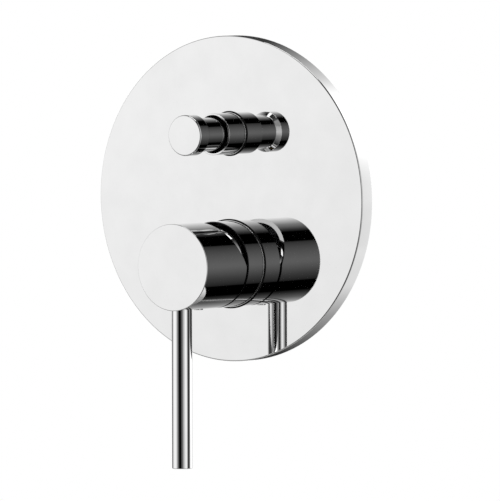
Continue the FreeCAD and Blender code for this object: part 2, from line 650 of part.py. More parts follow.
# Rotor: turns in the shell's neck, carries the pin and guides the driver
rotor = new_body("cartridge_rotor", mixer_axis)
revolve(rotor, "rotor_turning", [
    ("0", "fits.rotor_back"),
    ("fits.rotor_flange_r", "fits.rotor_back"),
    ("fits.rotor_flange_r", "fits.rotor_shelf"),
    ("fits.rotor_neck_r", "fits.rotor_shelf"),
    ("fits.rotor_neck_r", "fits.rotor_front"),
    ("0", "fits.rotor_front"),
])
for name, sign in (("left_guide", "-"), ("right_guide", "")):
    guide = new_sketch(rotor, name + "_outline", "XY_Plane", "fits.guide_end")
    inner = f"{sign}fits.guide_in"
    outer = f"{sign}(fits.guide_in + sizes.guide_wall)"
    box_outline(guide, inner, "-sizes.guide_width / 2", outer, "sizes.guide_width / 2")
    pad(rotor, name, guide, "fits.rotor_back - fits.guide_end")
slot = new_sketch(rotor, "slot_outline", "XY_Plane", "fits.rotor_back")
slot_half = "(sizes.stem_side / 2 + sizes.side_gap)"
box_outline(slot, "-" + slot_half, "-sizes.stem_swing / 2", slot_half, "sizes.stem_swing / 2")
pocket(rotor, "stem_slot", slot, reverse=True)
pin_hole = new_sketch(rotor, "pin_hole_outline", "YZ_Plane")
circles(pin_hole, "sizes.pin_dia / 2 + sizes.run_gap / 4", [("0", "fits.pivot_at")])
pocket(rotor, "pin_hole", pin_hole, "2 * fits.rotor_neck_r + 2", middle=True)

pin_half = "fits.rotor_neck_r - sizes.pin_inset"
pin = cylinder("pivot_pin", "sizes.pin_dia / 2", f"-({pin_half})", pin_half,
               "right", "fits.pivot_at", mixer_axis)
keep(pin, "pivot_pin")

# Stem: a square bar on the pin, with a finger and ball that drive the disc
stem = new_body("lever_stem", mixer_axis)
stem_square = new_sketch(stem, "stem_outline", "XY_Plane", "fits.pivot_at - sizes.stem_foot")
box_outline(stem_square, "-sizes.stem_side / 2", "-sizes.stem_side / 2",
            "sizes.stem_side / 2", "sizes.stem_side / 2")
pad(stem, "stem_bar", stem_square, "sizes.stem_foot + sizes.stem_reach")
finger_r = "sizes.finger_dia / 2"
revolve(stem, "stem_finger", [
    ("0", "fits.ball_at - sizes.ball_dia / 2"),
    (finger_r, None),
    (finger_r, "fits.pivot_at - sizes.stem_foot"),
    ("0", "fits.pivot_at - sizes.stem_foot"),
], arcs={0: ("0", "fits.ball_at", False)})
stem_hole = new_sketch(stem, "stem_hole_outline", "YZ_Plane")
circles(stem_hole, "sizes.pin_dia / 2 + sizes.run_gap", [("0", "fits.pivot_at")])
pocket(stem, "stem_hole", stem_hole, "sizes.stem_side + 2", middle=True)

# Handle: drum with a hollow skirt, its upper back cut on a slant so that it can tilt
handle = new_body("handle", mixer_axis)
revolve(handle, "handle_drum", [
    ("0", "fits.boss_back"),
    ("sizes.boss_dia / 2", "fits.boss_back"),
    ("sizes.boss_dia / 2", "fits.handle_inner"),
    ("fits.handle_in_r", "fits.handle_inner"),
    ("fits.handle_in_r", "fits.handle_back"),
    ("fits.sleeve_r", "fits.handle_back"),
    ("fits.sleeve_r", "fits.handle_face"),
    ("0", "fits.handle_face"),
])
rib = new_sketch(handle, "rib_outline", "XY_Plane", "fits.rib_back")
box_outline(rib, "-sizes.rib_width / 2", "-fits.handle_in_r - sizes.handle_wall / 2",
            "sizes.rib_width / 2", "-sizes.boss_dia / 4")
pad(handle, "screw_rib", rib, "sizes.rib_reach")
relief = new_sketch(handle, "relief_outline", "YZ_Plane")
relief_top = "2 * fits.sleeve_r"
relief_rise = f"({relief_top} + sizes.relief_low) * tan(sizes.relief_angle)"
outline(relief, [
    ("-sizes.relief_low", "fits.handle_back"),
    (relief_top, "fits.handle_back"),
    (relief_top, f"fits.handle_back + {relief_rise}"),
])
pocket(handle, "tilt_relief", relief, "2 * fits.sleeve_r + 2", middle=True)
socket_half = "(sizes.stem_side / 2 + sizes.thread_gap / 2)"
socket = new_sketch(handle, "socket_outline", "XY_Plane", "fits.boss_back")
box_outline(socket, "-" + socket_half, "-" + socket_half, socket_half, socket_half)
pocket(handle, "stem_socket", socket, "sizes.socket_depth", reverse=True)
lever_hole = new_sketch(handle, "lever_hole_outline", "XZ_Plane", "fits.lever_top")
circles(lever_hole, "sizes.lever_dia / 2 + sizes.thread_gap / 2", [("0", "fits.lever_at")])
pocket(handle, "lever_hole", lever_hole, reverse=True)
stud_hole = new_sketch(handle, "stud_hole_outline", "XZ_Plane", "fits.lever_top")
circles(stud_hole, "sizes.stud_dia / 2 + sizes.thread_gap / 2", [("0", "fits.lever_at")])
pocket(handle, "stud_hole", stud_hole, "sizes.stud_length + sizes.side_gap")
screw_hole = new_sketch(handle, "screw_hole_outline", "XZ_Plane")
circles(screw_hole, "sizes.screw_dia / 2 + sizes.thread_gap / 2", [("0", "fits.screw_at")])
pocket(handle, "screw_hole", screw_hole, reverse=True)
round_rims(handle, "handle_edge", "sizes.edge_round", [("fits.sleeve_r", "fits.handle_face")])

# Lever: a plain rod with a threaded stud, and the set screw and plug beside it
lever = new_body("lever_rod", mixer_axis, Rotation(), "fits.lever_at")
revolve(lever, "lever_turning", [
    ("0", "-sizes.lever_drop"),
    ("sizes.lever_dia / 2", "-sizes.lever_drop"),
    ("sizes.lever_dia / 2", "-fits.lever_top"),
    ("sizes.stud_dia / 2", "-fits.lever_top"),
    ("sizes.stud_dia / 2", "-fits.lever_top + sizes.stud_length"),
    ("0", "-fits.lever_top + sizes.stud_length"),
])
round_rims(lever, "lever_edge", "sizes.edge_round", [("sizes.lever_dia / 2", "-sizes.lever_drop")])

screw_base = f"{mixer_axis} - fits.screw_low"
screw_blank = cylinder("screw_blank", "sizes.screw_dia / 2", screw_base,
                       f"{mixer_axis} - sizes.stem_side / 2", "up", "0", "fits.screw_at")
screw_key = doc.addObject("Part::Prism", "screw_key")
screw_key.Polygon = 6
screw_key.setExpression("Circumradius", "sizes.screw_key / 2 / cos(30)")
screw_key.setExpression("Height", "sizes.screw_key_depth")
seat(screw_key, screw_base, Rotation(), "fits.screw_at")
keep(take_away("handle_set_screw", screw_blank, screw_key), "handle_set_screw")

plug = new_body("screw_plug", mixer_axis, Rotation(), "fits.screw_at")
plug_end = "-fits.sleeve_r - sizes.plug_proud"
revolve(plug, "plug_turning", [
    ("0", plug_end),
    ("sizes.screw_dia / 2", plug_end),
    ("sizes.screw_dia / 2", f"{plug_end} + sizes.plug_length"),
    ("0", f"{plug_end} + sizes.plug_length"),
])
round_rims(plug, "plug_edge", "sizes.plug_proud", [("sizes.screw_dia / 2", plug_end)])

# Diverter knob: a spool with a coned shoulder, screwed on the spindle
knob = new_body("pull_knob", diverter_axis)
head_back = "fits.knob_face - sizes.knob_head"
revolve(knob, "knob_turning", [
    ("0", "fits.knob_back + sizes.knob_tap"),
    ("fits.thread_bore_r", "fits.knob_back + sizes.knob_tap"),
    ("fits.thread_bore_r", "fits.knob_back"),
    ("sizes.knob_waist / 2", "fits.knob_back"),
    ("sizes.knob_waist / 2", f"{head_back} - sizes.knob_cone"),
    ("sizes.knob_dia / 2", head_back),
    ("sizes.knob_dia / 2", "fits.knob_face"),
    ("0", "fits.knob_face"),
])
round_rims(knob, "knob_face_edge", "sizes.knob_edge", [("sizes.knob_dia / 2", "fits.knob_face")])
round_rims(knob, "knob_back_edge", "sizes.edge_round", [("sizes.knob_waist / 2", "fits.knob_back")])

# Spindle, piston, washers and nut, which travel with the knob
spindle = new_body("diverter_spindle", diverter_axis)
revolve(spindle, "spindle_turning", [
    ("0", "fits.spindle_tail"),
    ("sizes.spindle_thread / 2", "fits.spindle_tail"),
    ("sizes.spindle_thread / 2", "fits.piston_front"),
    ("fits.spindle_r", "fits.piston_front"),
    ("fits.spindle_r", "fits.knob_back"),
    ("sizes.spindle_thread / 2", "fits.knob_back"),
    ("sizes.spindle_thread / 2", "fits.knob_back + sizes.spindle_tip"),
    ("0", "fits.knob_back + sizes.spindle_tip"),
])
piston = flat_ring("diverter_piston", "sizes.piston_dia / 2", "fits.thread_bore_r",
                   "fits.piston_back", "fits.piston_front", "0", diverter_axis)
keep(piston, "diverter_piston")
group("piston_seals", [
    flat_ring("front_washer", "sizes.washer_dia / 2", "sizes.washer_bore / 2",
              "fits.piston_front", "fits.front_washer_at", "0", diverter_axis),
    flat_ring("rear_washer", "sizes.washer_dia / 2", "sizes.washer_bore / 2",
              "fits.rear_washer_at", "fits.piston_back", "0", diverter_axis),
])
nut_blank = doc.addObject("Part::Prism", "nut_blank")
nut_blank.Polygon = 6
nut_blank.setExpression("Circumradius", "sizes.piston_nut_side / 2 / cos(30)")
nut_blank.setExpression("Height", "sizes.piston_nut_depth")
seat(nut_blank, diverter_axis, out_of_wall, "fits.piston_back - sizes.piston_nut_depth")
nut_hole = cylinder("nut_hole", "fits.thread_bore_r", "fits.piston_back - sizes.piston_nut_depth",
                    "fits.piston_back", "forward", "0", diverter_axis)
keep(take_away("piston_nut", nut_blank, nut_hole), "piston_nut")

# Bonnet: collar thread, flange, body thread, and a cage with windows and a sealed foot
bonnet = new_body("diverter_bonnet", diverter_axis)
gland_low = "fits.gland_middle - sizes.gland_pitch / 2"
gland_high = "fits.gland_middle + sizes.gland_pitch / 2"
bonnet_outside = [
    ("fits.spindle_bore_r", "fits.bonnet_front"),
    ("sizes.bonnet_nose_dia / 2", "fits.bonnet_front"),
    ("sizes.bonnet_nose_dia / 2", "fits.bonnet_step"),
    ("sizes.bonnet_flange_dia / 2", "fits.bonnet_step"),
    ("sizes.bonnet_flange_dia / 2", "fits.casting_front"),
    ("sizes.bonnet_thread_dia / 2", "fits.casting_front"),
    ("sizes.bonnet_thread_dia / 2", "fits.cage_top"),
    ("sizes.cage_dia / 2", "fits.cage_top"),
    ("sizes.cage_dia / 2", "fits.foot_top"),
    ("sizes.bonnet_thread_dia / 2", "fits.foot_top"),
    ("sizes.bonnet_thread_dia / 2", "fits.foot_middle + fits.groove_half"),
    ("fits.groove_r", "fits.foot_middle + fits.groove_half"),
    ("fits.groove_r", "fits.foot_middle - fits.groove_half"),
    ("sizes.bonnet_thread_dia / 2", "fits.foot_middle - fits.groove_half"),
    ("sizes.bonnet_thread_dia / 2", "fits.bonnet_mouth"),
    ("sizes.cage_bore / 2", "fits.bonnet_mouth"),
    ("sizes.cage_bore / 2", "fits.spring_seat"),
    ("fits.spindle_bore_r", "fits.spring_seat"),
]
bonnet_glands = []
for middle in (gland_low, gland_high):
    bonnet_glands += [
        ("fits.spindle_bore_r", f"{middle} - fits.groove_half"),
        ("fits.gland_r", f"{middle} - fits.groove_half"),
        ("fits.gland_r", f"{middle} + fits.groove_half"),
        ("fits.spindle_bore_r", f"{middle} + fits.groove_half"),
    ]
revolve(bonnet, "bonnet_turning", bonnet_outside + bonnet_glands)
window = new_sketch(bonnet, "window_outline", "XZ_Plane")
circles(window, "sizes.window_dia / 2", [("0", "fits.foot_top + sizes.cage_length / 2")])
first_window = pocket(bonnet, "first_window", window, "fits.bonnet_bore_r", reverse=True)
windows = bonnet.newObject("PartDesign::PolarPattern", "windows")
windows.Originals = [first_window]
windows.Axis = (window, ["V_Axis"])
windows.Angle = 360
windows.setExpression("Occurrences", "sizes.window_count")
bonnet.Tip = windows
doc.recompute()

# Wiper ring on the bonnet's nose, which darkens the collar's mouth and keeps dirt off the spindle
wiper = flat_ring("collar_wiper", "fits.collar_land_r - sizes.wiper_gap", "fits.spindle_r + sizes.wiper_gap",
                  "fits.bonnet_front", "fits.bonnet_front + sizes.wiper_depth", "0", diverter_axis)
keep(wiper, "collar_wiper")

cord_r = "sizes.o_ring_cord / 2"
bonnet_ring = o_ring("bonnet_o_ring", "fits.groove_r + sizes.o_ring_cord / 2", cord_r,
                     "fits.foot_middle", diverter_axis)
keep(bonnet_ring, "bonnet_o_ring")
group("spindle_seals", [
    o_ring(f"spindle_seal_{number}", "fits.spindle_bore_r + sizes.o_ring_cord / 2", cord_r,
           middle, diverter_axis)
    for number, middle in enumerate((gland_low, gland_high), start=1)
])

# Return spring between the bonnet and the piston
spring_low = value("fits.piston_front + sizes.spring_wire / 2")
spring_high = value("fits.spring_seat - sizes.spring_wire / 2 - sizes.side_gap")
coil_r = value("sizes.spring_dia / 2")
coil = Part.makeHelix((spring_high - spring_low) / value("sizes.spring_turns"), spring_high - spring_low, coil_r)
wire_section = Part.Wire(Part.makeCircle(value("sizes.spring_wire / 2"), Vector(coil_r, 0, 0), Vector(0, 1, 0)))
spring = doc.addObject("Part::Feature", "return_spring")
spring.Shape = Part.Wire(coil.Edges).makePipeShell([wire_section], True, True)
spring.Placement = Placement(Vector(0, -spring_low, value(diverter_axis)), out_of_wall)
keep(spring, "return_spring")

# Valve body: a brass casting of barrels and tubes, then its bores and drilled ways
port_r = "sizes.port_boss_dia / 2"
casting = join("casting", [
    cylinder("barrel", "fits.barrel_r", "fits.casting_front - 1", "fits.barrel_front",
             "forward", "0", mixer_axis),
    cylinder("chamber", "fits.chamber_r", "fits.chamber_back", "fits.casting_front", "forward", "0", mixer_axis),
    cylinder("inlets", port_r, "-sizes.inlet_reach", "sizes.inlet_reach",
             "right", "-sizes.port_depth", mixer_axis),
    cylinder("diverter_barrel", "fits.diverter_r", "fits.diverter_back", "fits.casting_front",
             "forward", "0", diverter_axis),
    cylinder("upper_outlet", port_r, diverter_axis, "sizes.outlet_reach", "up", "0", "-sizes.port_depth"),
    cylinder("lower_outlet", port_r, "-sizes.outlet_reach", mixer_axis, "up", "0", "-sizes.port_depth"),
    cylinder("mixed_tube", "fits.way_boss_r", f"{mixer_axis} - 4", diverter_axis, "up", "0", "-sizes.mixed_depth"),
    cylinder("return_tube", "fits.way_boss_r", "-sizes.return_low - fits.way_boss_r - 1", diverter_axis,
             "up", "0", "-fits.return_depth"),
    cylinder("return_turn", "fits.way_boss_r - 0.5", "-fits.return_depth", "-sizes.port_depth",
             "forward", "0", "-sizes.return_low"),
])
lug_back = "fits.casting_front - sizes.lug_depth"
lugs = []
for name, sign in (("left_lug", "-"), ("right_lug", "")):
    lugs.append(cylinder(name, "sizes.lug_width / 2", lug_back, "fits.casting_front",
                         "forward", f"{sign}sizes.lug_spacing / 2", diverter_axis))
lug_bar = doc.addObject("Part::Box", "lug_bar")
lug_bar.setExpression("Length", "sizes.lug_spacing")
lug_bar.setExpression("Width", "sizes.lug_depth")
lug_bar.setExpression("Height", "sizes.lug_width - 2")
lug_bar.setExpression("Placement.Base.x", "-sizes.lug_spacing / 2")
lug_bar.setExpression("Placement.Base.y", "sizes.casting_back")
lug_bar.setExpression("Placement.Base.z", "sizes.axis_rise - sizes.lug_width / 2 + 1")
raw_body = join("raw_body", [casting, lug_bar] + lugs)

thread_r = "sizes.port_thread_dia / 2"
ways = [
    cylinder("cartridge_bore", "fits.barrel_bore_r", "fits.chamber_end", "fits.barrel_front + 1",
             "forward", "0", mixer_axis),
    cylinder("mixed_drop", way_r, "-sizes.mixed_depth", "fits.chamber_end + 1",
             "forward", "0", f"{mixer_axis} + sizes.mixed_high"),
    cylinder("mixed_way", "sizes.way_dia / 2", f"{mixer_axis} + sizes.mixed_high - 4", diverter_axis,
             "up", "0", "-sizes.mixed_depth"),
    cylinder("bonnet_bore", "fits.bonnet_bore_r", "fits.bonnet_mouth", "fits.casting_front + 1",
             "forward", "0", diverter_axis),
    cylinder("middle_bore", "sizes.middle_dia / 2", "fits.rear_seat", "fits.bonnet_mouth + 1",
             "forward", "0", diverter_axis),
    cylinder("rear_way", "sizes.rear_way_dia / 2", "-fits.return_depth - sizes.way_dia / 2",
             "fits.rear_seat + 1", "forward", "0", diverter_axis),
    cylinder("return_way", "sizes.way_dia / 2", "-sizes.return_low - 3", diverter_axis,
             "up", "0", "-fits.return_depth"),
    cylinder("return_cross", "sizes.way_dia / 2 - 0.5", "-fits.return_depth", "-sizes.port_depth",
             "forward", "0", "-sizes.return_low"),
    cylinder("lower_thread", thread_r, "-sizes.outlet_reach - 1", "-sizes.outlet_reach + sizes.port_thread",
             "up", "0", "-sizes.port_depth"),
    cylinder("lower_way", "sizes.way_dia / 2", "-sizes.outlet_reach", "-sizes.return_low + 3",
             "up", "0", "-sizes.port_depth"),
    cylinder("upper_thread", thread_r, "sizes.outlet_reach - sizes.port_thread", "sizes.outlet_reach + 1",
             "up", "0", "-sizes.port_depth"),
    cylinder("upper_way", "sizes.upper_way_dia / 2", diverter_axis, "sizes.outlet_reach",
             "up", "0", "-sizes.upper_way_depth"),
]
for name, sign in (("left", "-"), ("right", "")):
    ends = [("sizes.port_web / 2", "sizes.inlet_reach"),
            ("sizes.inlet_reach - sizes.port_thread", "sizes.inlet_reach + 1")]
    for part_name, radius, (near, far) in zip(("way", "thread"), ("sizes.port_way_dia / 2", thread_r), ends):
        start, end = (near, far) if sign == "" else (f"-({far})", f"-({near})")
        ways.append(cylinder(f"{name}_{part_name}", radius, start, end, "right", "-sizes.port_depth", mixer_axis))
    ways.append(cylinder(f"{name}_rise", way_r, "-sizes.port_depth", "fits.chamber_end + 1",
                         "forward", f"{sign}sizes.inlet_side", f"{mixer_axis} - sizes.inlet_low"))
    ways.append(cylinder(f"{name}_lug_hole", "sizes.lug_hole / 2", lug_back + " - 1", "fits.casting_front + 1",
                         "forward", f"{sign}sizes.lug_spacing / 2", diverter_axis))
keep(take_away("valve_body", raw_body, join("body_ways", ways)), "valve_body")

doc.recompute()

# Nothing is written unless every object came out whole
for item in doc.Objects:
    if "Invalid" in item.State or "Error" in item.State:
        raise RuntimeError(f"{item.Name} failed: {item.State}")
for piece in sub_parts:
    if piece.Shape.isNull() or not piece.Shape.isValid() or not piece.Shape.Solids:
        raise RuntimeError(f"{piece.Label} has no valid solid")

os.makedirs("parts", exist_ok=True)
for piece in sub_parts:
    piece.Shape.exportStep(f"parts/{piece.Label}.step")
    print(f"{piece.Label}: {len(piece.Shape.Solids)} solid, {piece.Shape.Volume / 1000:.3f} cm3")
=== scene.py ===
# Built-in shower mixer with a pull diverter on a round plate
import math

import bmesh
import bpy
from mathutils import Matrix, Vector


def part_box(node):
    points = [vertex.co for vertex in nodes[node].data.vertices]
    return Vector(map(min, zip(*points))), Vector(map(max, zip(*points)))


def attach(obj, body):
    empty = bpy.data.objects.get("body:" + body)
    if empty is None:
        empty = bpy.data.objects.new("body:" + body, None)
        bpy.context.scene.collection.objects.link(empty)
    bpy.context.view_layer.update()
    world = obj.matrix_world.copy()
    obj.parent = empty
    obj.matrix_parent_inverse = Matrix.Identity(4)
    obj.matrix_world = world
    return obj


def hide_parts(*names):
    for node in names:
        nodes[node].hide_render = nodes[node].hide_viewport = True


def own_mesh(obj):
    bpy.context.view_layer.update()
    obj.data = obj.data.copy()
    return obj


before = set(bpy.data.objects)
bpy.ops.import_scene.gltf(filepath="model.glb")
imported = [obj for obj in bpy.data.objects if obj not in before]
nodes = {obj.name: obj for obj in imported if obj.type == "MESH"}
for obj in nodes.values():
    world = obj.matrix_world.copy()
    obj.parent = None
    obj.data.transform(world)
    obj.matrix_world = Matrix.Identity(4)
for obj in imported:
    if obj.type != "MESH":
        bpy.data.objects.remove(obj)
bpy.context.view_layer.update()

mm = 0.001
print("frame loaded:", len(nodes), "nodes")

# places shared by the pieces, in millimetres; height is out of the wall
mixerAxis = -34.0
diverterAxis = 34.0
plateFace = 9.0
pivotHeight = 19.0
leverHeight = 50.75
screwHeight = 36.6
outOfWall = Vector((0, -1, 0))
upWall = Vector((0, 0, 1))


def hexLinear(code):
    parts = [int(code[i:i + 2], 16) / 255 for i in (1, 3, 5)]
    return [p / 12.92 if p <= 0.04045 else ((p + 0.055) / 1.055) ** 2.4 for p in parts] + [1.0]


def addNode(tree, kind, values=None, links=None, stops=None, **settings):
    node = tree.nodes.new(kind)
    for key, setting in settings.items():
        setattr(node, key, setting)
    for socket, number in (values or {}).items():
        node.inputs[socket].default_value = number
    for socket, source in (links or {}).items():
        tree.links.new(source, node.inputs[socket])
    for number, (place, colour) in enumerate(stops or []):
        ramp = node.color_ramp.elements
        while number == 0 and len(ramp) > 1:
            ramp.remove(ramp[-1])
        stop = ramp[0] if number == 0 else ramp.new(place)
        stop.position, stop.color = place, colour
    return node


def newFinish(name, **shaderValues):
    # an empty material: its tree, its shader and the piece's own coordinates
    material = bpy.data.materials.new(name)
    material.use_nodes = True
    tree = material.node_tree
    shader = tree.nodes["Principled BSDF"]
    for socket, number in shaderValues.items():
        shader.inputs[socket.replace("_", " ")].default_value = number
    return material, tree, shader, addNode(tree, "ShaderNodeTexCoord").outputs["Object"]


def wire(tree, shader, sources):
    for socket, source in sources.items():
        tree.links.new(source, shader.inputs[socket])


# bright chrome plated on polished brass: a neutral mirror, with the buffing wheel's haze only in its gloss
chromeLook = {"deep": "#f1f1f1", "bright": "#f5f5f5", "hazeMm": 14.0, "buffMm": 0.5, "gloss": (0.012, 0.034)}
chrome, tree, shader, place = newFinish("polished_chrome_plate", Metallic=1.0)
haze = addNode(tree, "ShaderNodeTexNoise", {"Scale": 1 / (chromeLook["hazeMm"] * mm), "Detail": 3.0},
               {"Vector": place})
tint = addNode(tree, "ShaderNodeValToRGB", None, {"Fac": haze.outputs["Fac"]},
               [(0.3, hexLinear(chromeLook["deep"])), (0.7, hexLinear(chromeLook["bright"]))])
along = addNode(tree, "ShaderNodeMapping", {"Scale": (0.05, 1, 1)}, {"Vector": place})
buff = addNode(tree, "ShaderNodeTexNoise", {"Scale": 1 / (chromeLook["buffMm"] * mm), "Detail": 2.0},
               {"Vector": along.outputs["Vector"]})
gloss = addNode(tree, "ShaderNodeMapRange", {"To Min": chromeLook["gloss"][0], "To Max": chromeLook["gloss"][1]},
                {"Value": buff.outputs["Fac"]})
wire(tree, shader, {"Base Color": tint.outputs["Color"], "Roughness": gloss.outputs["Result"]})

# thin plate inside the hollow handle and sleeves, where the bath hardly reaches: dull and streaky, and its dark grey
# is painted shade for the hollows
hollowShadeLook = {"deep": "#39393b", "bright": "#58585a", "streakMm": 2.5, "gloss": (0.4, 0.6)}
thinPlatePaintedShade, tree, shader, place = newFinish("thin_plate_painted_shade", Metallic=1.0)
streak = addNode(tree, "ShaderNodeTexNoise", {"Scale": 1 / (hollowShadeLook["streakMm"] * mm), "Detail": 4.0},
                 {"Vector": place})
tint = addNode(tree, "ShaderNodeValToRGB", None, {"Fac": streak.outputs["Fac"]},
               [(0.3, hexLinear(hollowShadeLook["deep"])), (0.7, hexLinear(hollowShadeLook["bright"]))])
gloss = addNode(tree, "ShaderNodeMapRange", {"To Min": hollowShadeLook["gloss"][0], "To Max": hollowShadeLook["gloss"][1]},
                {"Value": streak.outputs["Fac"]})
wire(tree, shader, {"Base Color": tint.outputs["Color"], "Roughness": gloss.outputs["Result"]})

# moulded nitrile rubber: near black and matt, a fine grain left by the mould
rubberLook = {"deep": "#050505", "bright": "#0a0a0a", "bloomMm": 2.0, "grainMm": 0.25, "gloss": (0.5, 0.65),
              "relief": 0.004}
rubber, tree, shader, place = newFinish("moulded_nitrile_rubber", IOR=1.35)
bloom = addNode(tree, "ShaderNodeTexNoise", {"Scale": 1 / (rubberLook["bloomMm"] * mm), "Detail": 2.0},
                {"Vector": place})
tint = addNode(tree, "ShaderNodeValToRGB", None, {"Fac": bloom.outputs["Fac"]},
               [(0.3, hexLinear(rubberLook["deep"])), (0.7, hexLinear(rubberLook["bright"]))])
grain = addNode(tree, "ShaderNodeTexNoise", {"Scale": 1 / (rubberLook["grainMm"] * mm)}, {"Vector": place})
gloss = addNode(tree, "ShaderNodeMapRange", {"To Min": rubberLook["gloss"][0], "To Max": rubberLook["gloss"][1]},
                {"Value": grain.outputs["Fac"]})
relief = addNode(tree, "ShaderNodeBump", {"Strength": 1.0, "Distance": rubberLook["relief"] * mm},
                 {"Height": grain.outputs["Fac"]})
wire(tree, shader, {"Base Color": tint.outputs["Color"], "Roughness": gloss.outputs["Result"],
                    "Normal": relief.outputs["Normal"]})

# closed-cell polyethylene foam: dark grey cells, with painted shade in the sunken seams where two cells meet
foamLook = {"shadedSeam": "#1c1c1c", "cell": "#363636", "cellMm": 0.9, "relief": 0.2}
foam, tree, shader, place = newFinish("closed_cell_foam", IOR=1.4, Roughness=0.92)
cells = addNode(tree, "ShaderNodeTexVoronoi", {"Scale": 1 / (foamLook["cellMm"] * mm)}, {"Vector": place})
# the darker colour at the cell seams is painted shade in the sunken seams
tint = addNode(tree, "ShaderNodeValToRGB", None, {"Fac": cells.outputs["Distance"]},
               [(0.1, hexLinear(foamLook["cell"])), (0.75, hexLinear(foamLook["shadedSeam"]))])
relief = addNode(tree, "ShaderNodeBump", {"Strength": 1.0, "Distance": foamLook["relief"] * mm},
                 {"Height": cells.outputs["Distance"]}, invert=True)
wire(tree, shader, {"Base Color": tint.outputs["Color"], "Normal": relief.outputs["Normal"]})

# sand-cast brass, as it leaves the mould: dull yellow, tarnished in patches, with the sand's grain
castLook = {"tarnish": "#9a7c48", "skin": "#bf9f63", "bright": "#d8bc80", "patchMm": 9.0, "sandMm": 0.6,
            "gloss": (0.38, 0.6), "relief": 0.09}
castBrass, tree, shader, place = newFinish("sand_cast_brass", Metallic=1.0)
patch = addNode(tree, "ShaderNodeTexNoise", {"Scale": 1 / (castLook["patchMm"] * mm), "Detail": 5.0},
                {"Vector": place})
tint = addNode(tree, "ShaderNodeValToRGB", None, {"Fac": patch.outputs["Fac"]},
               [(0.32, hexLinear(castLook["tarnish"])), (0.5, hexLinear(castLook["skin"])),
                (0.68, hexLinear(castLook["bright"]))])
sand = addNode(tree, "ShaderNodeTexNoise", {"Scale": 1 / (castLook["sandMm"] * mm), "Detail": 3.0}, {"Vector": place})
gloss = addNode(tree, "ShaderNodeMapRange", {"To Min": castLook["gloss"][0], "To Max": castLook["gloss"][1]},
                {"Value": sand.outputs["Fac"]})
relief = addNode(tree, "ShaderNodeBump", {"Strength": 1.0, "Distance": castLook["relief"] * mm},
                 {"Height": sand.outputs["Fac"]})
wire(tree, shader, {"Base Color": tint.outputs["Color"], "Roughness": gloss.outputs["Result"],
                    "Normal": relief.outputs["Normal"]})

# turned brass: bright yellow with the tool's rings, coloured as painted shade in the grooves and painted highlight on
# the crests; a real feed of 0.1 mm is drawn at 0.6 mm so that it shows
turnedLook = {"shadedGroove": "#c8a55c", "crest": "#e2c688", "feedMm": 0.6, "gloss": (0.16, 0.3), "relief": 0.004}
turnedBrass, tree, shader, place = newFinish("turned_brass", Metallic=1.0)
apart = addNode(tree, "ShaderNodeSeparateXYZ", None, {"Vector": place})
eitherSide = addNode(tree, "ShaderNodeMath", None, {0: apart.outputs["Z"]}, operation="ABSOLUTE")
fromAxis = addNode(tree, "ShaderNodeMath", {1: diverterAxis * mm}, {0: eitherSide.outputs["Value"]},
                   operation="SUBTRACT")  # the two axes stand as far above as below the middle
centred = addNode(tree, "ShaderNodeCombineXYZ", None, {"X": apart.outputs["X"], "Y": apart.outputs["Y"],
                                                       "Z": fromAxis.outputs["Value"]})
rings = addNode(tree, "ShaderNodeTexWave", {"Scale": math.pi / 10 / (turnedLook["feedMm"] * mm), "Distortion": 0.4,
                                            "Detail": 1.0}, {"Vector": centred.outputs["Vector"]},
                wave_type="RINGS", rings_direction="SPHERICAL")
# darker colour in the grooves is painted shade, lighter colour on the crests is painted highlight
tint = addNode(tree, "ShaderNodeValToRGB", None, {"Fac": rings.outputs["Fac"]},
               [(0.1, hexLinear(turnedLook["shadedGroove"])), (0.8, hexLinear(turnedLook["crest"]))])
gloss = addNode(tree, "ShaderNodeMapRange", {"To Min": turnedLook["gloss"][1], "To Max": turnedLook["gloss"][0]},
                {"Value": rings.outputs["Fac"]})
relief = addNode(tree, "ShaderNodeBump", {"Strength": 1.0, "Distance": turnedLook["relief"] * mm},
                 {"Height": rings.outputs["Fac"]})
wire(tree, shader, {"Base Color": tint.outputs["Color"], "Roughness": gloss.outputs["Result"],
                    "Normal": relief.outputs["Normal"]})

# brass of the barrel in the gap behind the handle, coloured almost black: painted shade for the gap
gapShadeLook = {"deep": "#24221f", "bright": "#3d3933", "patchMm": 3.0, "gloss": (0.35, 0.5)}
brassPaintedShade, tree, shader, place = newFinish("brass_painted_gap_shade", Metallic=1.0)
patch = addNode(tree, "ShaderNodeTexNoise", {"Scale": 1 / (gapShadeLook["patchMm"] * mm), "Detail": 4.0},
                {"Vector": place})
tint = addNode(tree, "ShaderNodeValToRGB", None, {"Fac": patch.outputs["Fac"]},
               [(0.3, hexLinear(gapShadeLook["deep"])), (0.7, hexLinear(gapShadeLook["bright"]))])
gloss = addNode(tree, "ShaderNodeMapRange", {"To Min": gapShadeLook["gloss"][0], "To Max": gapShadeLook["gloss"][1]},
                {"Value": patch.outputs["Fac"]})
wire(tree, shader, {"Base Color": tint.outputs["Color"], "Roughness": gloss.outputs["Result"]})

# moulded acetal: off-white and waxy, with the spark-eroded grain of its mould
acetalLook = {"deep": "#d6d4cc", "bright": "#e7e5df", "flowMm": 8.0, "grainMm": 0.8, "gloss": (0.32, 0.45),
              "relief": 0.006}
acetal, tree, shader, place = newFinish("moulded_acetal", IOR=1.48)
flow = addNode(tree, "ShaderNodeTexNoise", {"Scale": 1 / (acetalLook["flowMm"] * mm), "Distortion": 1.5},
               {"Vector": place})
tint = addNode(tree, "ShaderNodeValToRGB", None, {"Fac": flow.outputs["Fac"]},
               [(0.3, hexLinear(acetalLook["deep"])), (0.7, hexLinear(acetalLook["bright"]))])
grain = addNode(tree, "ShaderNodeTexNoise", {"Scale": 1 / (acetalLook["grainMm"] * mm)}, {"Vector": place})
gloss = addNode(tree, "ShaderNodeMapRange", {"To Min": acetalLook["gloss"][0], "To Max": acetalLook["gloss"][1]},
                {"Value": grain.outputs["Fac"]})
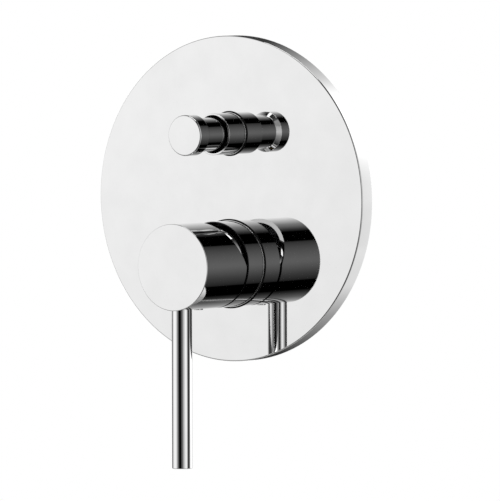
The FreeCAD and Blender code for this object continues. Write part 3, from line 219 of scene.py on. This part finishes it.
relief = addNode(tree, "ShaderNodeBump", {"Strength": 1.0, "Distance": acetalLook["relief"] * mm},
                 {"Height": grain.outputs["Fac"]})
wire(tree, shader, {"Base Color": tint.outputs["Color"], "Roughness": gloss.outputs["Result"],
                    "Normal": relief.outputs["Normal"]})

# lapped alumina: hard warm white with grey specks and a satin polish
aluminaLook = {"speck": "#d9d4c8", "body": "#f0ede5", "speckMm": 0.9, "gloss": (0.12, 0.22)}
alumina, tree, shader, place = newFinish("lapped_alumina", IOR=1.77)
specks = addNode(tree, "ShaderNodeTexNoise", {"Scale": 1 / (aluminaLook["speckMm"] * mm), "Detail": 4.0},
                 {"Vector": place})
tint = addNode(tree, "ShaderNodeValToRGB", None, {"Fac": specks.outputs["Fac"]},
               [(0.3, hexLinear(aluminaLook["speck"])), (0.42, hexLinear(aluminaLook["body"]))])
gloss = addNode(tree, "ShaderNodeMapRange", {"To Min": aluminaLook["gloss"][0], "To Max": aluminaLook["gloss"][1]},
                {"Value": specks.outputs["Fac"]})
wire(tree, shader, {"Base Color": tint.outputs["Color"], "Roughness": gloss.outputs["Result"]})

# drawn stainless steel: cool bright bar with die lines along its length
steelLook = {"deep": "#b4b6b8", "bright": "#cfd1d2", "lineMm": 0.35, "gloss": (0.16, 0.32)}
stainless, tree, shader, place = newFinish("drawn_stainless_steel", Metallic=1.0)
along = addNode(tree, "ShaderNodeMapping", {"Scale": (1, 0.04, 1)}, {"Vector": place})
lines = addNode(tree, "ShaderNodeTexNoise", {"Scale": 1 / (steelLook["lineMm"] * mm), "Detail": 2.0},
                {"Vector": along.outputs["Vector"]})
tint = addNode(tree, "ShaderNodeValToRGB", None, {"Fac": lines.outputs["Fac"]},
               [(0.35, hexLinear(steelLook["deep"])), (0.65, hexLinear(steelLook["bright"]))])
gloss = addNode(tree, "ShaderNodeMapRange", {"To Min": steelLook["gloss"][1], "To Max": steelLook["gloss"][0]},
                {"Value": lines.outputs["Fac"]})
wire(tree, shader, {"Base Color": tint.outputs["Color"], "Roughness": gloss.outputs["Result"]})
print("materials made")


def selectOnly(piece):
    bpy.ops.object.select_all(action="DESELECT")
    piece.select_set(True)
    bpy.context.view_layer.objects.active = piece


def nameActive(name):
    piece = bpy.context.active_object
    piece.name = name
    piece.data.name = name
    return piece


def applyModifier(piece, kind, **settings):
    selectOnly(piece)
    modifier = piece.modifiers.new(kind.lower(), kind)
    for key, setting in settings.items():
        setattr(modifier, key, setting)
    bpy.ops.object.modifier_apply(modifier=modifier.name)


def smoothHard(piece, angle=40):
    # smooth curved walls, true flats beside small rounds
    selectOnly(piece)
    bpy.ops.object.shade_smooth_by_angle(angle=math.radians(angle))
    applyModifier(piece, "WEIGHTED_NORMAL", mode="FACE_AREA", weight=100, keep_sharp=True)


def pickNear(piece, *spots):
    # in edit mode, selects the points that stand at these spots and nothing else
    drawn = bmesh.from_edit_mesh(piece.data)
    for vertex in drawn.verts:
        vertex.select_set(any((vertex.co - spot).length < 0.0005 * mm for spot in spots))
    bmesh.update_edit_mesh(piece.data)


def spunPiece(name, points, foot, along, closed=True, steps=192):
    # lathe work: an outline of (radius, height) drawn point by point, corners with a third number rounded, then spun
    spots = [foot + (Vector((1, 0, 0)) * point[0] + along * point[1]) * mm for point in points]
    bpy.ops.object.select_all(action="DESELECT")
    bpy.ops.mesh.primitive_plane_add(size=mm)
    piece = nameActive(name)
    bpy.ops.object.mode_set(mode="EDIT")
    bpy.ops.mesh.select_all(action="SELECT")
    bpy.ops.mesh.merge(type="CENTER")
    bpy.ops.transform.translate(value=spots[0])
    for here, there in zip(spots, spots[1:]):
        bpy.ops.mesh.extrude_region_move(TRANSFORM_OT_translate={"value": there - here})
    if closed:
        pickNear(piece, spots[0], spots[-1])
        bpy.ops.mesh.edge_face_add()
    for point, spot in zip(points, spots):
        if len(point) == 3 and point[2]:
            pickNear(piece, spot)
            bpy.ops.mesh.bevel(offset=point[2] * mm, segments=6, affect="VERTICES")
    bpy.ops.mesh.select_all(action="SELECT")
    bpy.ops.mesh.spin(steps=steps, angle=2 * math.pi, center=foot, axis=along)
    bpy.ops.mesh.select_all(action="SELECT")
    bpy.ops.mesh.remove_doubles(threshold=0.0002 * mm)
    bpy.ops.mesh.normals_make_consistent(inside=False)
    bpy.ops.object.mode_set(mode="OBJECT")
    return piece


def rod(radius, start, end, vertices=96):
    # a plain cylinder between two places, used as a cutter or as stock to be worked
    start, end = Vector(start) * mm, Vector(end) * mm
    turn = (end - start).to_track_quat("Z", "Y").to_euler()
    bpy.ops.object.select_all(action="DESELECT")
    bpy.ops.mesh.primitive_cylinder_add(vertices=vertices, radius=radius * mm, depth=(end - start).length,
                                        location=(start + end) / 2, rotation=turn)
    bpy.ops.object.transform_apply(location=True, rotation=True, scale=True)
    return bpy.context.active_object


def block(low, high):
    low, high = Vector(low) * mm, Vector(high) * mm
    bpy.ops.object.select_all(action="DESELECT")
    bpy.ops.mesh.primitive_cube_add(size=1, location=(low + high) / 2, scale=high - low)
    bpy.ops.object.transform_apply(location=True, rotation=True, scale=True)
    return bpy.context.active_object


def windUp(piece, turns, rise, stepsPerTurn):
    # runs the piece's open section up a screw about Z and closes the two ends
    steps = int(stepsPerTurn * turns)
    applyModifier(piece, "SCREW", axis="Z", angle=2 * math.pi * turns, screw_offset=rise, steps=steps,
                  render_steps=steps, use_smooth_shade=True, use_merge_vertices=False)
    bpy.ops.object.mode_set(mode="EDIT")
    bpy.ops.mesh.select_all(action="SELECT")
    bpy.ops.mesh.region_to_loop()
    bpy.ops.mesh.edge_face_add()
    bpy.ops.mesh.select_all(action="SELECT")
    bpy.ops.mesh.normals_make_consistent(inside=False)
    bpy.ops.object.mode_set(mode="OBJECT")


def joinAll(pieces):
    selectOnly(pieces[0])
    for piece in pieces[1:]:
        piece.select_set(True)
    bpy.ops.object.join()
    return bpy.context.active_object


def carve(piece, tool, operation="DIFFERENCE", **settings):
    applyModifier(piece, "BOOLEAN", object=tool, operation=operation, solver="EXACT", use_self=True, **settings)
    mesh = tool.data
    bpy.data.objects.remove(tool)
    bpy.data.meshes.remove(mesh)


def coat(piece, *materials):
    piece.data.materials.clear()
    for material in materials:
        piece.data.materials.append(material)


def finishPiece(piece, body, slot, *stoodFor):
    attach(piece, body)
    if stoodFor:
        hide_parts(*stoodFor)
    print("made", piece.name, len(piece.data.polygons), "faces")


mixerFoot = Vector((0, 0, mixerAxis * mm))
diverterFoot = Vector((0, 0, diverterAxis * mm))
plateFoot = Vector((0, 0, 0))

# cover plate: spun disc with a hollow back, a hole bored for each sleeve
plate = {"radius": 85.0, "wall": 2.5, "rim": 4.0, "edge": 0.6, "hollowRound": 1.0, "backRound": 0.2,
         "mixerHole": 23.05, "diverterHole": 11.45}
coverPlate = spunPiece("plate_disc", [
    (0, plateFace - plate["wall"]),
    (plate["radius"] - plate["rim"], plateFace - plate["wall"], plate["hollowRound"]),
    (plate["radius"] - plate["rim"], 0),
    (plate["radius"], 0, plate["backRound"]),
    (plate["radius"], plateFace, plate["edge"]),
    (0, plateFace),
], plateFoot, outOfWall, closed=False, steps=256)
for radius, height in ((plate["mixerHole"], mixerAxis), (plate["diverterHole"], diverterAxis)):
    carve(coverPlate, rod(radius, (0, 5, height), (0, -15, height), 128))
smoothHard(coverPlate)
coat(coverPlate, chrome)
finishPiece(coverPlate, "valve", "chrome", "cover_plate")

# the two thin-mouthed sleeves, and the rubber rings they leave the plate through
sleeves = {
    "mixer": {"foot": mixerFoot, "outer": 22.5, "land": 19.85, "mouth": 21.8, "back": 2.0, "step": 12.0,
              "front": 22.65, "edge": 0, "inside": 0.3, "round": 0.3, "paintedShadeTo": 22.45,
              "node": "mixer_sleeve", "ring": "sleeve_ring"},
    "diverter": {"foot": diverterFoot, "outer": 10.9, "land": 9.4, "mouth": 10.0, "back": 2.0, "step": 14.0,
                 "front": 23.6, "edge": 0.15, "inside": 0.05, "round": 0.3, "paintedShadeTo": 10.02,
                 "node": "diverter_collar", "ring": "collar_ring"},
}
footShape = {"lip": 0.18, "gap": 0.3, "height": 0.5, "round": 0.1}  # thin turned foot just clear of the ring
ringShape = {"play": 0.05, "wall": 0.45, "reach": 0.9, "back": 6.5, "height": 0.25, "round": 0.1}
footLow = plateFace + footShape["gap"]
footTop = footLow + footShape["height"]
for key, part in sleeves.items():
    tube = spunPiece(key + "_sleeve_tube", [
        (part["land"], part["back"]),
        (part["outer"], part["back"], part["round"]),
        (part["outer"], footLow),
        (part["outer"] + footShape["lip"], footLow),
        (part["outer"] + footShape["lip"], footTop, footShape["round"]),
        (part["outer"], footTop),
        (part["outer"], part["front"], part["edge"]),
        (part["mouth"], part["front"], part["inside"]),
        (part["mouth"], part["step"], part["round"]),
        (part["land"], part["step"]),
    ], part["foot"], outOfWall)
    smoothHard(tube)
    coat(tube, chrome, thinPlatePaintedShade)
    # faces inside this radius (the bore, and on the mixer sleeve also its front rim) take the dark thin plate:
    # painted shade
    for face in tube.data.polygons:
        if math.hypot(face.center.x, face.center.z - part["foot"].z) < part["paintedShadeTo"] * mm:
            face.material_index = 1
    finishPiece(tube, "valve", "chrome", part["node"])
    inner = part["outer"] + ringShape["play"]
    reach = part["outer"] + ringShape["reach"]
    front = plateFace + ringShape["height"]
    seal = spunPiece(key + "_rubber_ring", [
        (inner, ringShape["back"]),
        (inner + ringShape["wall"], ringShape["back"]),
        (inner + ringShape["wall"], plateFace - ringShape["play"]),
        (inner + ringShape["play"], plateFace),
        (reach, plateFace),
        (reach, front, ringShape["round"]),
        (inner, front),
    ], part["foot"], outOfWall)
    smoothHard(seal)
    coat(seal, rubber)
    finishPiece(seal, "valve", "black_rubber", part["ring"])

# domed ring over the cartridge, drawn about the stem's pivot
dome = {"radius": 20.331, "wall": 1.45, "base": 21.5, "bore": 18.1, "mouth": 17.3, "steps": 14}
outerStart = math.asin((dome["base"] - pivotHeight) / dome["radius"])
outerEnd = math.acos(dome["mouth"] / dome["radius"])
innerRadius = dome["radius"] - dome["wall"]
innerStart = math.acos(dome["mouth"] / innerRadius)
innerEnd = math.acos(dome["bore"] / innerRadius)
domeOutline = [(dome["bore"], dome["base"])]
for radius, first, last in ((dome["radius"], outerStart, outerEnd), (innerRadius, innerStart, innerEnd)):
    for step in range(dome["steps"] + 1):
        angle = first + (last - first) * step / dome["steps"]
        domeOutline.append((radius * math.cos(angle), pivotHeight + radius * math.sin(angle)))
capDome = spunPiece("cartridge_dome", domeOutline, mixerFoot, outOfWall)
smoothHard(capDome, 30)
coat(capDome, chrome)
finishPiece(capDome, "valve", "chrome", "cartridge_cap")

# drum handle: spun shell with a boss, its upper back cut on a slant
drum = {"radius": 22.5, "inner": 20.5, "back": 24.6, "face": 58.8, "cavity": 44.0, "boss": 9.0, "bossBack": 31.0,
        "edge": 0.35, "bossRound": 0.4, "cavityRound": 1.0, "reliefAngle": 26.0, "reliefLow": 0.4, "wedge": 40.0}
rib = {"half": 4.0, "front": 44.2, "back": 33.4, "top": 6.0, "low": 20.9}
leverHole = {"radius": 5.3, "top": 13.0, "low": 30.0, "stud": 3.05, "studTop": 4.7, "studLow": 15.0}
screwHole = {"radius": 2.55, "low": 30.0}
socket = {"half": 4.05, "front": 45.5, "back": 25.0}
handle = spunPiece("handle_drum", [
    (0, drum["bossBack"]),
    (drum["boss"], drum["bossBack"], drum["bossRound"]),
    (drum["boss"], drum["cavity"], drum["cavityRound"]),
    (drum["inner"], drum["cavity"], drum["cavityRound"]),
    (drum["inner"], drum["back"]),
    (drum["radius"], drum["back"]),
    (drum["radius"], drum["face"], drum["edge"]),
    (0, drum["face"]),
], mixerFoot, outOfWall, closed=False)
carve(handle, block((-rib["half"], -rib["front"], mixerAxis - rib["low"]),
                    (rib["half"], -rib["back"], mixerAxis - rib["top"])), "UNION")  # rib for the set screw
reliefFoot = mixerAxis - drum["reliefLow"]
reliefStart = Vector((0, -drum["back"], reliefFoot)) * mm
wedge = block((-drum["wedge"], -drum["back"], reliefFoot),
              (drum["wedge"], -drum["back"] + drum["wedge"], reliefFoot + 2 * drum["wedge"]))
selectOnly(wedge)
bpy.ops.object.mode_set(mode="EDIT")
bpy.ops.mesh.select_all(action="SELECT")
bpy.ops.transform.rotate(value=-math.radians(drum["reliefAngle"]), orient_axis="X", center_override=reliefStart)
bpy.ops.object.mode_set(mode="OBJECT")
lowest = min(vertex.co.y for vertex in wedge.data.vertices)
print("relief reaches", round(-lowest / mm, 2), "mm out of the wall")
carve(handle, wedge)
carve(handle, rod(leverHole["radius"], (0, -leverHeight, mixerAxis - leverHole["top"]),
                  (0, -leverHeight, mixerAxis - leverHole["low"])))
carve(handle, rod(leverHole["stud"], (0, -leverHeight, mixerAxis - leverHole["studTop"]),
                  (0, -leverHeight, mixerAxis - leverHole["studLow"]), 48))
carve(handle, rod(screwHole["radius"], (0, -screwHeight, mixerAxis),
                  (0, -screwHeight, mixerAxis - screwHole["low"]), 48))
carve(handle, block((-socket["half"], -socket["front"], mixerAxis - socket["half"]),
                    (socket["half"], -socket["back"], mixerAxis + socket["half"])))  # the stem's square socket
smoothHard(handle)
coat(handle, chrome, thinPlatePaintedShade)
# the hollow's walls and floors take the dark thin plate: painted shade inside the handle
for face in handle.data.polygons:  # the hollow's walls and floors, not the cut rim
    reach = math.hypot(face.center.x, face.center.z - mixerFoot.z) / mm
    standing = abs(face.normal.y) < 0.05
    lying = face.normal.y > 0.95 and -face.center.y / mm > drum["bossBack"] - 1
    if reach < drum["inner"] + 0.01 and -face.center.y / mm < drum["cavity"] + 2 and (standing or lying):
        face.material_index = 1
finishPiece(handle, "lever_handle", "chrome", "handle")

# lever: turned rod with a stud, a small round at its free end
lever = {"radius": 5.25, "end": -104.5, "top": -13.0, "stud": 3.0, "studTop": -5.0, "edge": 0.35, "topRound": 0.2,
         "studRound": 0.4}
leverRod = spunPiece("lever_bar", [
    (0, lever["end"]),
    (lever["radius"], lever["end"], lever["edge"]),
    (lever["radius"], lever["top"], lever["topRound"]),
    (lever["stud"], lever["top"]),
    (lever["stud"], lever["studTop"], lever["studRound"]),
    (0, lever["studTop"]),
], Vector((0, -leverHeight * mm, mixerAxis * mm)), upWall, closed=False, steps=128)
smoothHard(leverRod)
coat(leverRod, chrome)
finishPiece(leverRod, "lever_handle", "chrome", "lever_rod")

# plug over the set screw, a little proud of the drum
plug = {"radius": 2.5, "end": -22.9, "top": -16.9, "edge": 0.4, "topRound": 0.3}
screwPlug = spunPiece("set_screw_plug", [
    (0, plug["end"]),
    (plug["radius"], plug["end"], plug["edge"]),
    (plug["radius"], plug["top"], plug["topRound"]),
    (0, plug["top"]),
], Vector((0, -screwHeight * mm, mixerAxis * mm)), upWall, closed=False, steps=64)
smoothHard(screwPlug)
coat(screwPlug, chrome)
finishPiece(screwPlug, "lever_handle", "chrome", "screw_plug")

# diverter knob: a spool with a coned shoulder under its head
knob = {"head": 10.6, "headBack": 40.7, "face": 48.2, "waist": 8.8, "back": 23.4, "cone": 1.95, "edge": 0.7,
        "tap": 2.55, "tapEnd": 36.3, "tapRound": 0.2, "backRound": 0.1, "coneRound": 0.15}
pullKnob = spunPiece("knob_spool", [
    (0, knob["tapEnd"]),
    (knob["tap"], knob["tapEnd"]),
    (knob["tap"], knob["back"], knob["tapRound"]),
    (knob["waist"], knob["back"], knob["backRound"]),
    (knob["waist"], knob["headBack"] - knob["cone"], knob["coneRound"]),
    (knob["head"], knob["headBack"], knob["coneRound"]),
    (knob["head"], knob["face"], knob["edge"]),
    (0, knob["face"]),
], diverterFoot, outOfWall, closed=False)
smoothHard(pullKnob)
coat(pullKnob, chrome)
finishPiece(pullKnob, "diverter_knob", "chrome", "pull_knob")

# valve body: overlapping tubes run together into one casting with soft inner corners, then machined
casting = {"front": -2.0, "portDepth": -19.0, "portRadius": 13.0, "inletReach": 42.0, "outletReach": 72.0,
           "chamber": 22.0, "chamberBack": -29.45, "cartridgeBore": 17.6, "cartridgeFloor": -8.45,
           "diverter": 14.5, "diverterBack": -48.5, "tube": 7.5, "mixedDepth": -29.0, "returnDepth": -40.0,
           "returnTurn": -58.0, "lugSpan": 56.0, "lugRadius": 7.0, "lugBack": -8.0, "lugHole": 2.75,
           "mixedStart": 4.0, "returnTail": 8.5, "crossTube": 7.0, "bridge": 6.0, "grain": 0.75, "spare": 2.0}
# each diverter bore has its radius and its two ends; the other lengths say where a way starts or stops
machining = {"diverter": ((11.0, 22.0, -5.0), (9.5, 36.4, 20.0), (6.5, 44.5, 36.0)), "mouth": -5.0,
             "lowerWay": 4.5, "lowerWayTop": 3.0, "upperWay": 4.0, "upperWayY": 17.5, "inletWay": 6.0,
             "inletStart": 5.0, "past": 9.0, "lugDepth": 20.0, "tall": 90.0, "wide": 60.0, "faceStart": -30.0,
             "sawStart": -10.0, "wayEnd": 5.0}
portThread = {"crest": 9.3, "root": 10.4, "pitch": 1.814, "length": 15.0, "crestFlat": 0.5, "rootFlat": 1.3,
              "inward": 0.2, "bite": 0.05, "endPlay": 0.4, "stepsPerTurn": 72}
ahead = -casting["front"] - casting["spare"]
portY = -casting["portDepth"]
farX = casting["inletReach"] + casting["spare"]
farZ = casting["outletReach"] + casting["spare"]
stock = [
    rod(casting["chamber"], (0, -casting["chamberBack"], mixerAxis), (0, ahead, mixerAxis)),
    rod(casting["portRadius"], (-farX, portY, mixerAxis), (farX, portY, mixerAxis)),
    rod(casting["diverter"], (0, -casting["diverterBack"], diverterAxis), (0, ahead, diverterAxis)),
    rod(casting["portRadius"], (0, portY, diverterAxis), (0, portY, farZ)),
    rod(casting["portRadius"], (0, portY, -farZ), (0, portY, mixerAxis)),
    rod(casting["tube"], (0, -casting["mixedDepth"], mixerAxis - casting["mixedStart"]),
        (0, -casting["mixedDepth"], diverterAxis)),
    rod(casting["tube"], (0, -casting["returnDepth"], casting["returnTurn"] - casting["returnTail"]),
        (0, -casting["returnDepth"], diverterAxis)),
    rod(casting["crossTube"], (0, -casting["returnDepth"], casting["returnTurn"]),
        (0, portY, casting["returnTurn"])),
    block((-casting["lugSpan"] / 2, ahead, diverterAxis - casting["bridge"]),
          (casting["lugSpan"] / 2, -casting["lugBack"], diverterAxis + casting["bridge"])),
]
for side in (-1, 1):
    stock.append(rod(casting["lugRadius"], (side * casting["lugSpan"] / 2, -casting["lugBack"], diverterAxis),
                     (side * casting["lugSpan"] / 2, ahead, diverterAxis)))
castBody = joinAll(stock)
nameActive("cast_valve_body")
applyModifier(castBody, "REMESH", mode="VOXEL", voxel_size=casting["grain"] * mm)
applyModifier(castBody, "SMOOTH", factor=0.5, iterations=10)
coat(castBody, castBrass)
print("casting poured:", len(castBody.data.polygons), "faces")
tall, wide, mouth, upperY = (machining[key] for key in ("tall", "wide", "mouth", "upperWayY"))
cuts = [
    block((-tall, machining["faceStart"], -tall), (tall, -casting["front"], tall)),  # the casting's front face
    rod(casting["cartridgeBore"], (0, -casting["cartridgeFloor"], mixerAxis), (0, mouth, mixerAxis), 128),
]
for radius, deep, shallow in machining["diverter"]:
    cuts.append(rod(radius, (0, deep, diverterAxis), (0, shallow, diverterAxis)))
cuts += [
    rod(machining["lowerWay"], (0, portY, -farZ - machining["wayEnd"]),
        (0, portY, casting["returnTurn"] + machining["lowerWayTop"]), 48),
    rod(machining["upperWay"], (0, upperY, diverterAxis), (0, upperY, farZ), 48),
]
for side in (-1, 1):
    reach, top = casting["inletReach"], casting["outletReach"]
    sawn, lug = sorted((side * reach, side * wide)), side * casting["lugSpan"] / 2
    ends = sorted((side * top, side * tall))
    cuts += [
        block((sawn[0], machining["sawStart"], -tall), (sawn[1], wide, tall)),  # port faces
        block((-wide, machining["sawStart"], ends[0]), (wide, wide, ends[1])),
        rod(portThread["root"], (side * (reach - portThread["length"]), portY, mixerAxis),
            (side * (reach + machining["past"]), portY, mixerAxis)),
        rod(portThread["root"], (0, portY, side * (top - portThread["length"])),
            (0, portY, side * (top + machining["past"]))),
        rod(machining["inletWay"], (side * machining["inletStart"], portY, mixerAxis),
            (side * reach, portY, mixerAxis), 64),
        rod(casting["lugHole"], (lug, machining["lugDepth"], diverterAxis), (lug, mouth, diverterAxis), 48),
    ]
for cut in cuts:
    coat(cut, turnedBrass)  # machined faces take the cutter's finish
carve(castBody, joinAll(cuts), material_mode="TRANSFER")
selectOnly(castBody)
bpy.ops.object.shade_smooth_by_angle(angle=math.radians(35))
finishPiece(castBody, "valve", "cast_brass", "valve_body")

# turned barrel in front of the casting, which the cartridge and its nut sit in
barrelShape = {"outer": 19.75, "front": 21.5, "outerRound": 0.4, "boreRound": 0.3}
barrel = spunPiece("cartridge_barrel", [
    (casting["cartridgeBore"], casting["front"]),
    (barrelShape["outer"], casting["front"]),
    (barrelShape["outer"], barrelShape["front"], barrelShape["outerRound"]),
    (casting["cartridgeBore"], barrelShape["front"], barrelShape["boreRound"]),
], mixerFoot, outOfWall)
smoothHard(barrel)
# coated almost black: painted shade for the gap behind the handle
coat(barrel, brassPaintedShade)
finishPiece(barrel, "valve", "turned_brass")

# port thread: one ridge, its section run up a screw and its two ends closed, then copied to the four ports
bpy.ops.object.select_all(action="DESELECT")
bpy.ops.mesh.primitive_plane_add(size=mm)
ridge = nameActive("left_port_thread")
flank = (portThread["rootFlat"] - portThread["crestFlat"]) / 2
foot = portThread["root"] + portThread["bite"]
corners = [(foot, 0.0), (portThread["crest"], flank), (foot, portThread["rootFlat"]),
           (portThread["crest"], flank + portThread["crestFlat"])]
for vertex, (radius, height) in zip(ridge.data.vertices, corners):
    vertex.co = (radius * mm, 0, height * mm)
turns = (portThread["length"] - portThread["rootFlat"] - portThread["endPlay"]) / portThread["pitch"]
bpy.ops.object.mode_set(mode="EDIT")
bpy.ops.mesh.select_all(action="SELECT")
bpy.ops.mesh.delete(type="ONLY_FACE")
bpy.ops.object.mode_set(mode="OBJECT")
windUp(ridge, turns, portThread["pitch"] * turns * mm, portThread["stepsPerTurn"])
bpy.ops.object.shade_smooth_by_angle(angle=math.radians(35))
coat(ridge, turnedBrass)
ports = {"left": ((-1, 0, 0), (-casting["inletReach"], portY, mixerAxis)),
         "right": ((1, 0, 0), (casting["inletReach"], portY, mixerAxis)),
         "upper": ((0, 0, 1), (0, portY, casting["outletReach"])),
         "lower": ((0, 0, -1), (0, portY, -casting["outletReach"]))}
threads = [ridge]
for name in list(ports)[1:]:
    selectOnly(ridge)
    bpy.ops.object.duplicate(linked=False)
    threads.append(nameActive(name + "_port_thread"))
for copy, (outward, mouth) in zip(threads, ports.values()):
    selectOnly(copy)
    copy.rotation_euler = (-Vector(outward)).to_track_quat("Z", "Y").to_euler()
    copy.location = (Vector(mouth) - Vector(outward) * portThread["inward"]) * mm
    bpy.ops.object.transform_apply(location=True, rotation=True, scale=True)
    finishPiece(copy, "valve", "turned_brass")

# return spring: round wire wound up a screw between piston and bonnet; the real spring is squeezed as the knob comes
# out, this one keeps its length and rides with the knob
coil = {"wire": 1.0, "radius": 4.6, "turns": 6, "travel": 8.0, "sides": 16, "stepsPerTurn": 48}
seatEnd, pistonEnd = (corner.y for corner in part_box("return_spring"))
coilLength = pistonEnd - seatEnd
bpy.ops.object.select_all(action="DESELECT")
bpy.ops.mesh.primitive_circle_add(vertices=coil["sides"], radius=coil["wire"] / 2 * mm,
                                  location=(coil["radius"] * mm, 0, 0), rotation=(math.pi / 2, 0, 0))
bpy.ops.object.transform_apply(location=True, rotation=True, scale=True)
spring = nameActive("wound_return_spring")
windUp(spring, coil["turns"], coilLength - coil["wire"] * mm, coil["stepsPerTurn"])
spring.rotation_euler = outOfWall.to_track_quat("Z", "Y").to_euler()
spring.location = (0, pistonEnd - coil["wire"] / 2 * mm, diverterAxis * mm)
bpy.ops.object.transform_apply(location=True, rotation=True, scale=True)
bpy.ops.object.shade_smooth_by_angle(angle=math.radians(40))
coat(spring, stainless)
finishPiece(spring, "diverter_knob", "steel", "return_spring")
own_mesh(spring)

# the inner pieces keep their own solids
innerFinishes = {
    turnedBrass: ["cartridge_nut", "diverter_bonnet", "diverter_piston", "piston_nut", "lever_stem"],
    acetal: ["cartridge_shell", "cartridge_base", "cartridge_rotor", "disc_driver"],
    alumina: ["fixed_disc", "moving_disc"],
    stainless: ["pivot_pin", "handle_set_screw", "diverter_spindle"],
    rubber: ["collar_wiper", "base_seals", "bonnet_o_ring", "spindle_seals", "piston_seals"],
    foam: ["plate_gasket"],
}
for material, names in innerFinishes.items():
    for name in names:
        coat(nodes[name], material)
print("inner pieces finished")

# floor: matt white paper, well below a part that hangs on a wall
floorShape = {"radius": 0.8, "place": (0, 0.35, -0.95), "deep": "#e4e4e2", "pale": "#eaeae8", "fibreMm": 4.0,
              "liftToEye": 0.6, "liftInMetal": 0.12}
paper, tree, shader, place = newFinish("matt_white_paper", Roughness=0.9)
fibres = addNode(tree, "ShaderNodeTexNoise", {"Scale": 1 / (floorShape["fibreMm"] * mm), "Detail": 3.0},
                 {"Vector": place})
tint = addNode(tree, "ShaderNodeValToRGB", None, {"Fac": fibres.outputs["Fac"]},
               [(0.3, hexLinear(floorShape["deep"])), (0.7, hexLinear(floorShape["pale"]))])
path = addNode(tree, "ShaderNodeLightPath")
inMetal = addNode(tree, "ShaderNodeMath", {1: floorShape["liftInMetal"]}, {0: path.outputs["Is Glossy Ray"]},
                  operation="MULTIPLY")
lift = addNode(tree, "ShaderNodeMath", {1: floorShape["liftToEye"]},
               {0: path.outputs["Is Camera Ray"], 2: inMetal.outputs["Value"]}, operation="MULTIPLY_ADD")
wire(tree, shader, {"Base Color": tint.outputs["Color"], "Emission Color": tint.outputs["Color"],
                    "Emission Strength": lift.outputs["Value"]})  # pale to the eye and in the metal, shadow kept
bpy.ops.object.select_all(action="DESELECT")
bpy.ops.mesh.primitive_circle_add(vertices=128, radius=floorShape["radius"], fill_type="NGON",
                                  location=floorShape["place"])
studioFloor = nameActive("studio_floor")
coat(studioFloor, paper)

# soft boxes: a wide one overhead, and one high at the right that whitens the knob's cone in the plate
softBoxes = {"overhead": {"place": Vector((0, -0.3, 2.4)), "side": 1.6, "watts": 12.0},
             "right": {"place": Vector((1.5, 1.2, 1.6)), "side": 1.3, "watts": 1.0}}
for name, box in softBoxes.items():
    bpy.ops.object.light_add(type="AREA", location=box["place"])
    lamp = bpy.context.active_object
    lamp.name = name + "_soft_box"
    lamp.data.size = box["side"]
    lamp.data.energy = box["watts"]
    lamp.rotation_euler = (-box["place"]).to_track_quat("-Z", "Y").to_euler()

# studio: a white cyclorama whose wall has darker panels, as (azimuth in degrees, brightness)
studioWall = [
    (-90, 0.62), (-62, 1.1), (-42, 1.04), (-34, 0.89), (-27, 0.64), (-18, 0.31), (-4, 0.07), (3, 0.0),
    (22.5, 0.0), (24, 0.045), (36, 0.126), (43, 0.2), (50, 0.42), (68, 0.83), (84, 1.14), (104, 0.2),
    (109, 0.01), (118, 0.01), (127, 0.16), (138, 0.6), (144, 0.8), (151, 1.7), (164, 2.1), (183, 1.05),
    (200, 0.42), (212, 0.05), (254, 0.05), (264, 0.4), (269.9, 0.62),
]
# and how that light falls off above and below, as (sine of the elevation, share)
studioHeight = [
    (-0.92, 0.02), (-0.6, 0.32), (-0.34, 0.52), (-0.17, 0.8), (-0.03, 1.0), (0.05, 1.0), (0.3, 0.86),
    (0.57, 0.7), (0.72, 0.4), (0.92, 0.02),
]
world = bpy.data.worlds.new("studio")
bpy.context.scene.world = world
world.use_nodes = True
sky = world.node_tree
sky.nodes.clear()
look = addNode(sky, "ShaderNodeTexCoord")
around = addNode(sky, "ShaderNodeTexGradient", None, {"Vector": look.outputs["Generated"]}, gradient_type="RADIAL")
wall = addNode(sky, "ShaderNodeValToRGB", None, {"Fac": around.outputs["Fac"]},
               [((azimuth + 90) / 360, (tone, tone, tone, 1)) for azimuth, tone in studioWall])
heading = addNode(sky, "ShaderNodeSeparateXYZ", None, {"Vector": look.outputs["Generated"]})
height = addNode(sky, "ShaderNodeMapRange", {"From Min": -1.0}, {"Value": heading.outputs["Z"]})
share = addNode(sky, "ShaderNodeValToRGB", None, {"Fac": height.outputs["Result"]},
                [((rise + 1) / 2, (part, part, part, 1)) for rise, part in studioHeight])
lit = addNode(sky, "ShaderNodeVectorMath", None, {0: wall.outputs["Color"], 1: share.outputs["Color"]},
              operation="MULTIPLY")
path = addNode(sky, "ShaderNodeLightPath")
seen = addNode(sky, "ShaderNodeMix", {7: (1, 1, 1, 1)}, {0: path.outputs["Is Camera Ray"], 6: lit.outputs["Vector"]},
               data_type="RGBA")  # plain white behind the part
light = addNode(sky, "ShaderNodeBackground", {"Strength": 1.0}, {"Color": seen.outputs[2]})
addNode(sky, "ShaderNodeOutputWorld", None, {"Surface": light.outputs["Background"]})

# camera at the photograph's viewing angle, from about four metres
camera = {"eye": Vector((2.3773, -3.2200, 0.1669)), "aim": Vector((0.008505, -0.002738, -0.027148)),
          "roll": -0.13, "lens": 550.51, "sensor": 36.0}
bpy.ops.object.camera_add(location=camera["eye"])
photographer = bpy.context.active_object
photographer.data.lens = camera["lens"]
photographer.data.sensor_width = camera["sensor"]
photographer.data.clip_end = 100
turn = (camera["aim"] - camera["eye"]).to_track_quat("-Z", "Y").to_matrix()
photographer.rotation_euler = (turn @ Matrix.Rotation(math.radians(camera["roll"]), 3, "Z")).to_euler()
bpy.context.scene.camera = photographer
bpy.context.scene.view_settings.view_transform = "Standard"
print("studio and camera set")
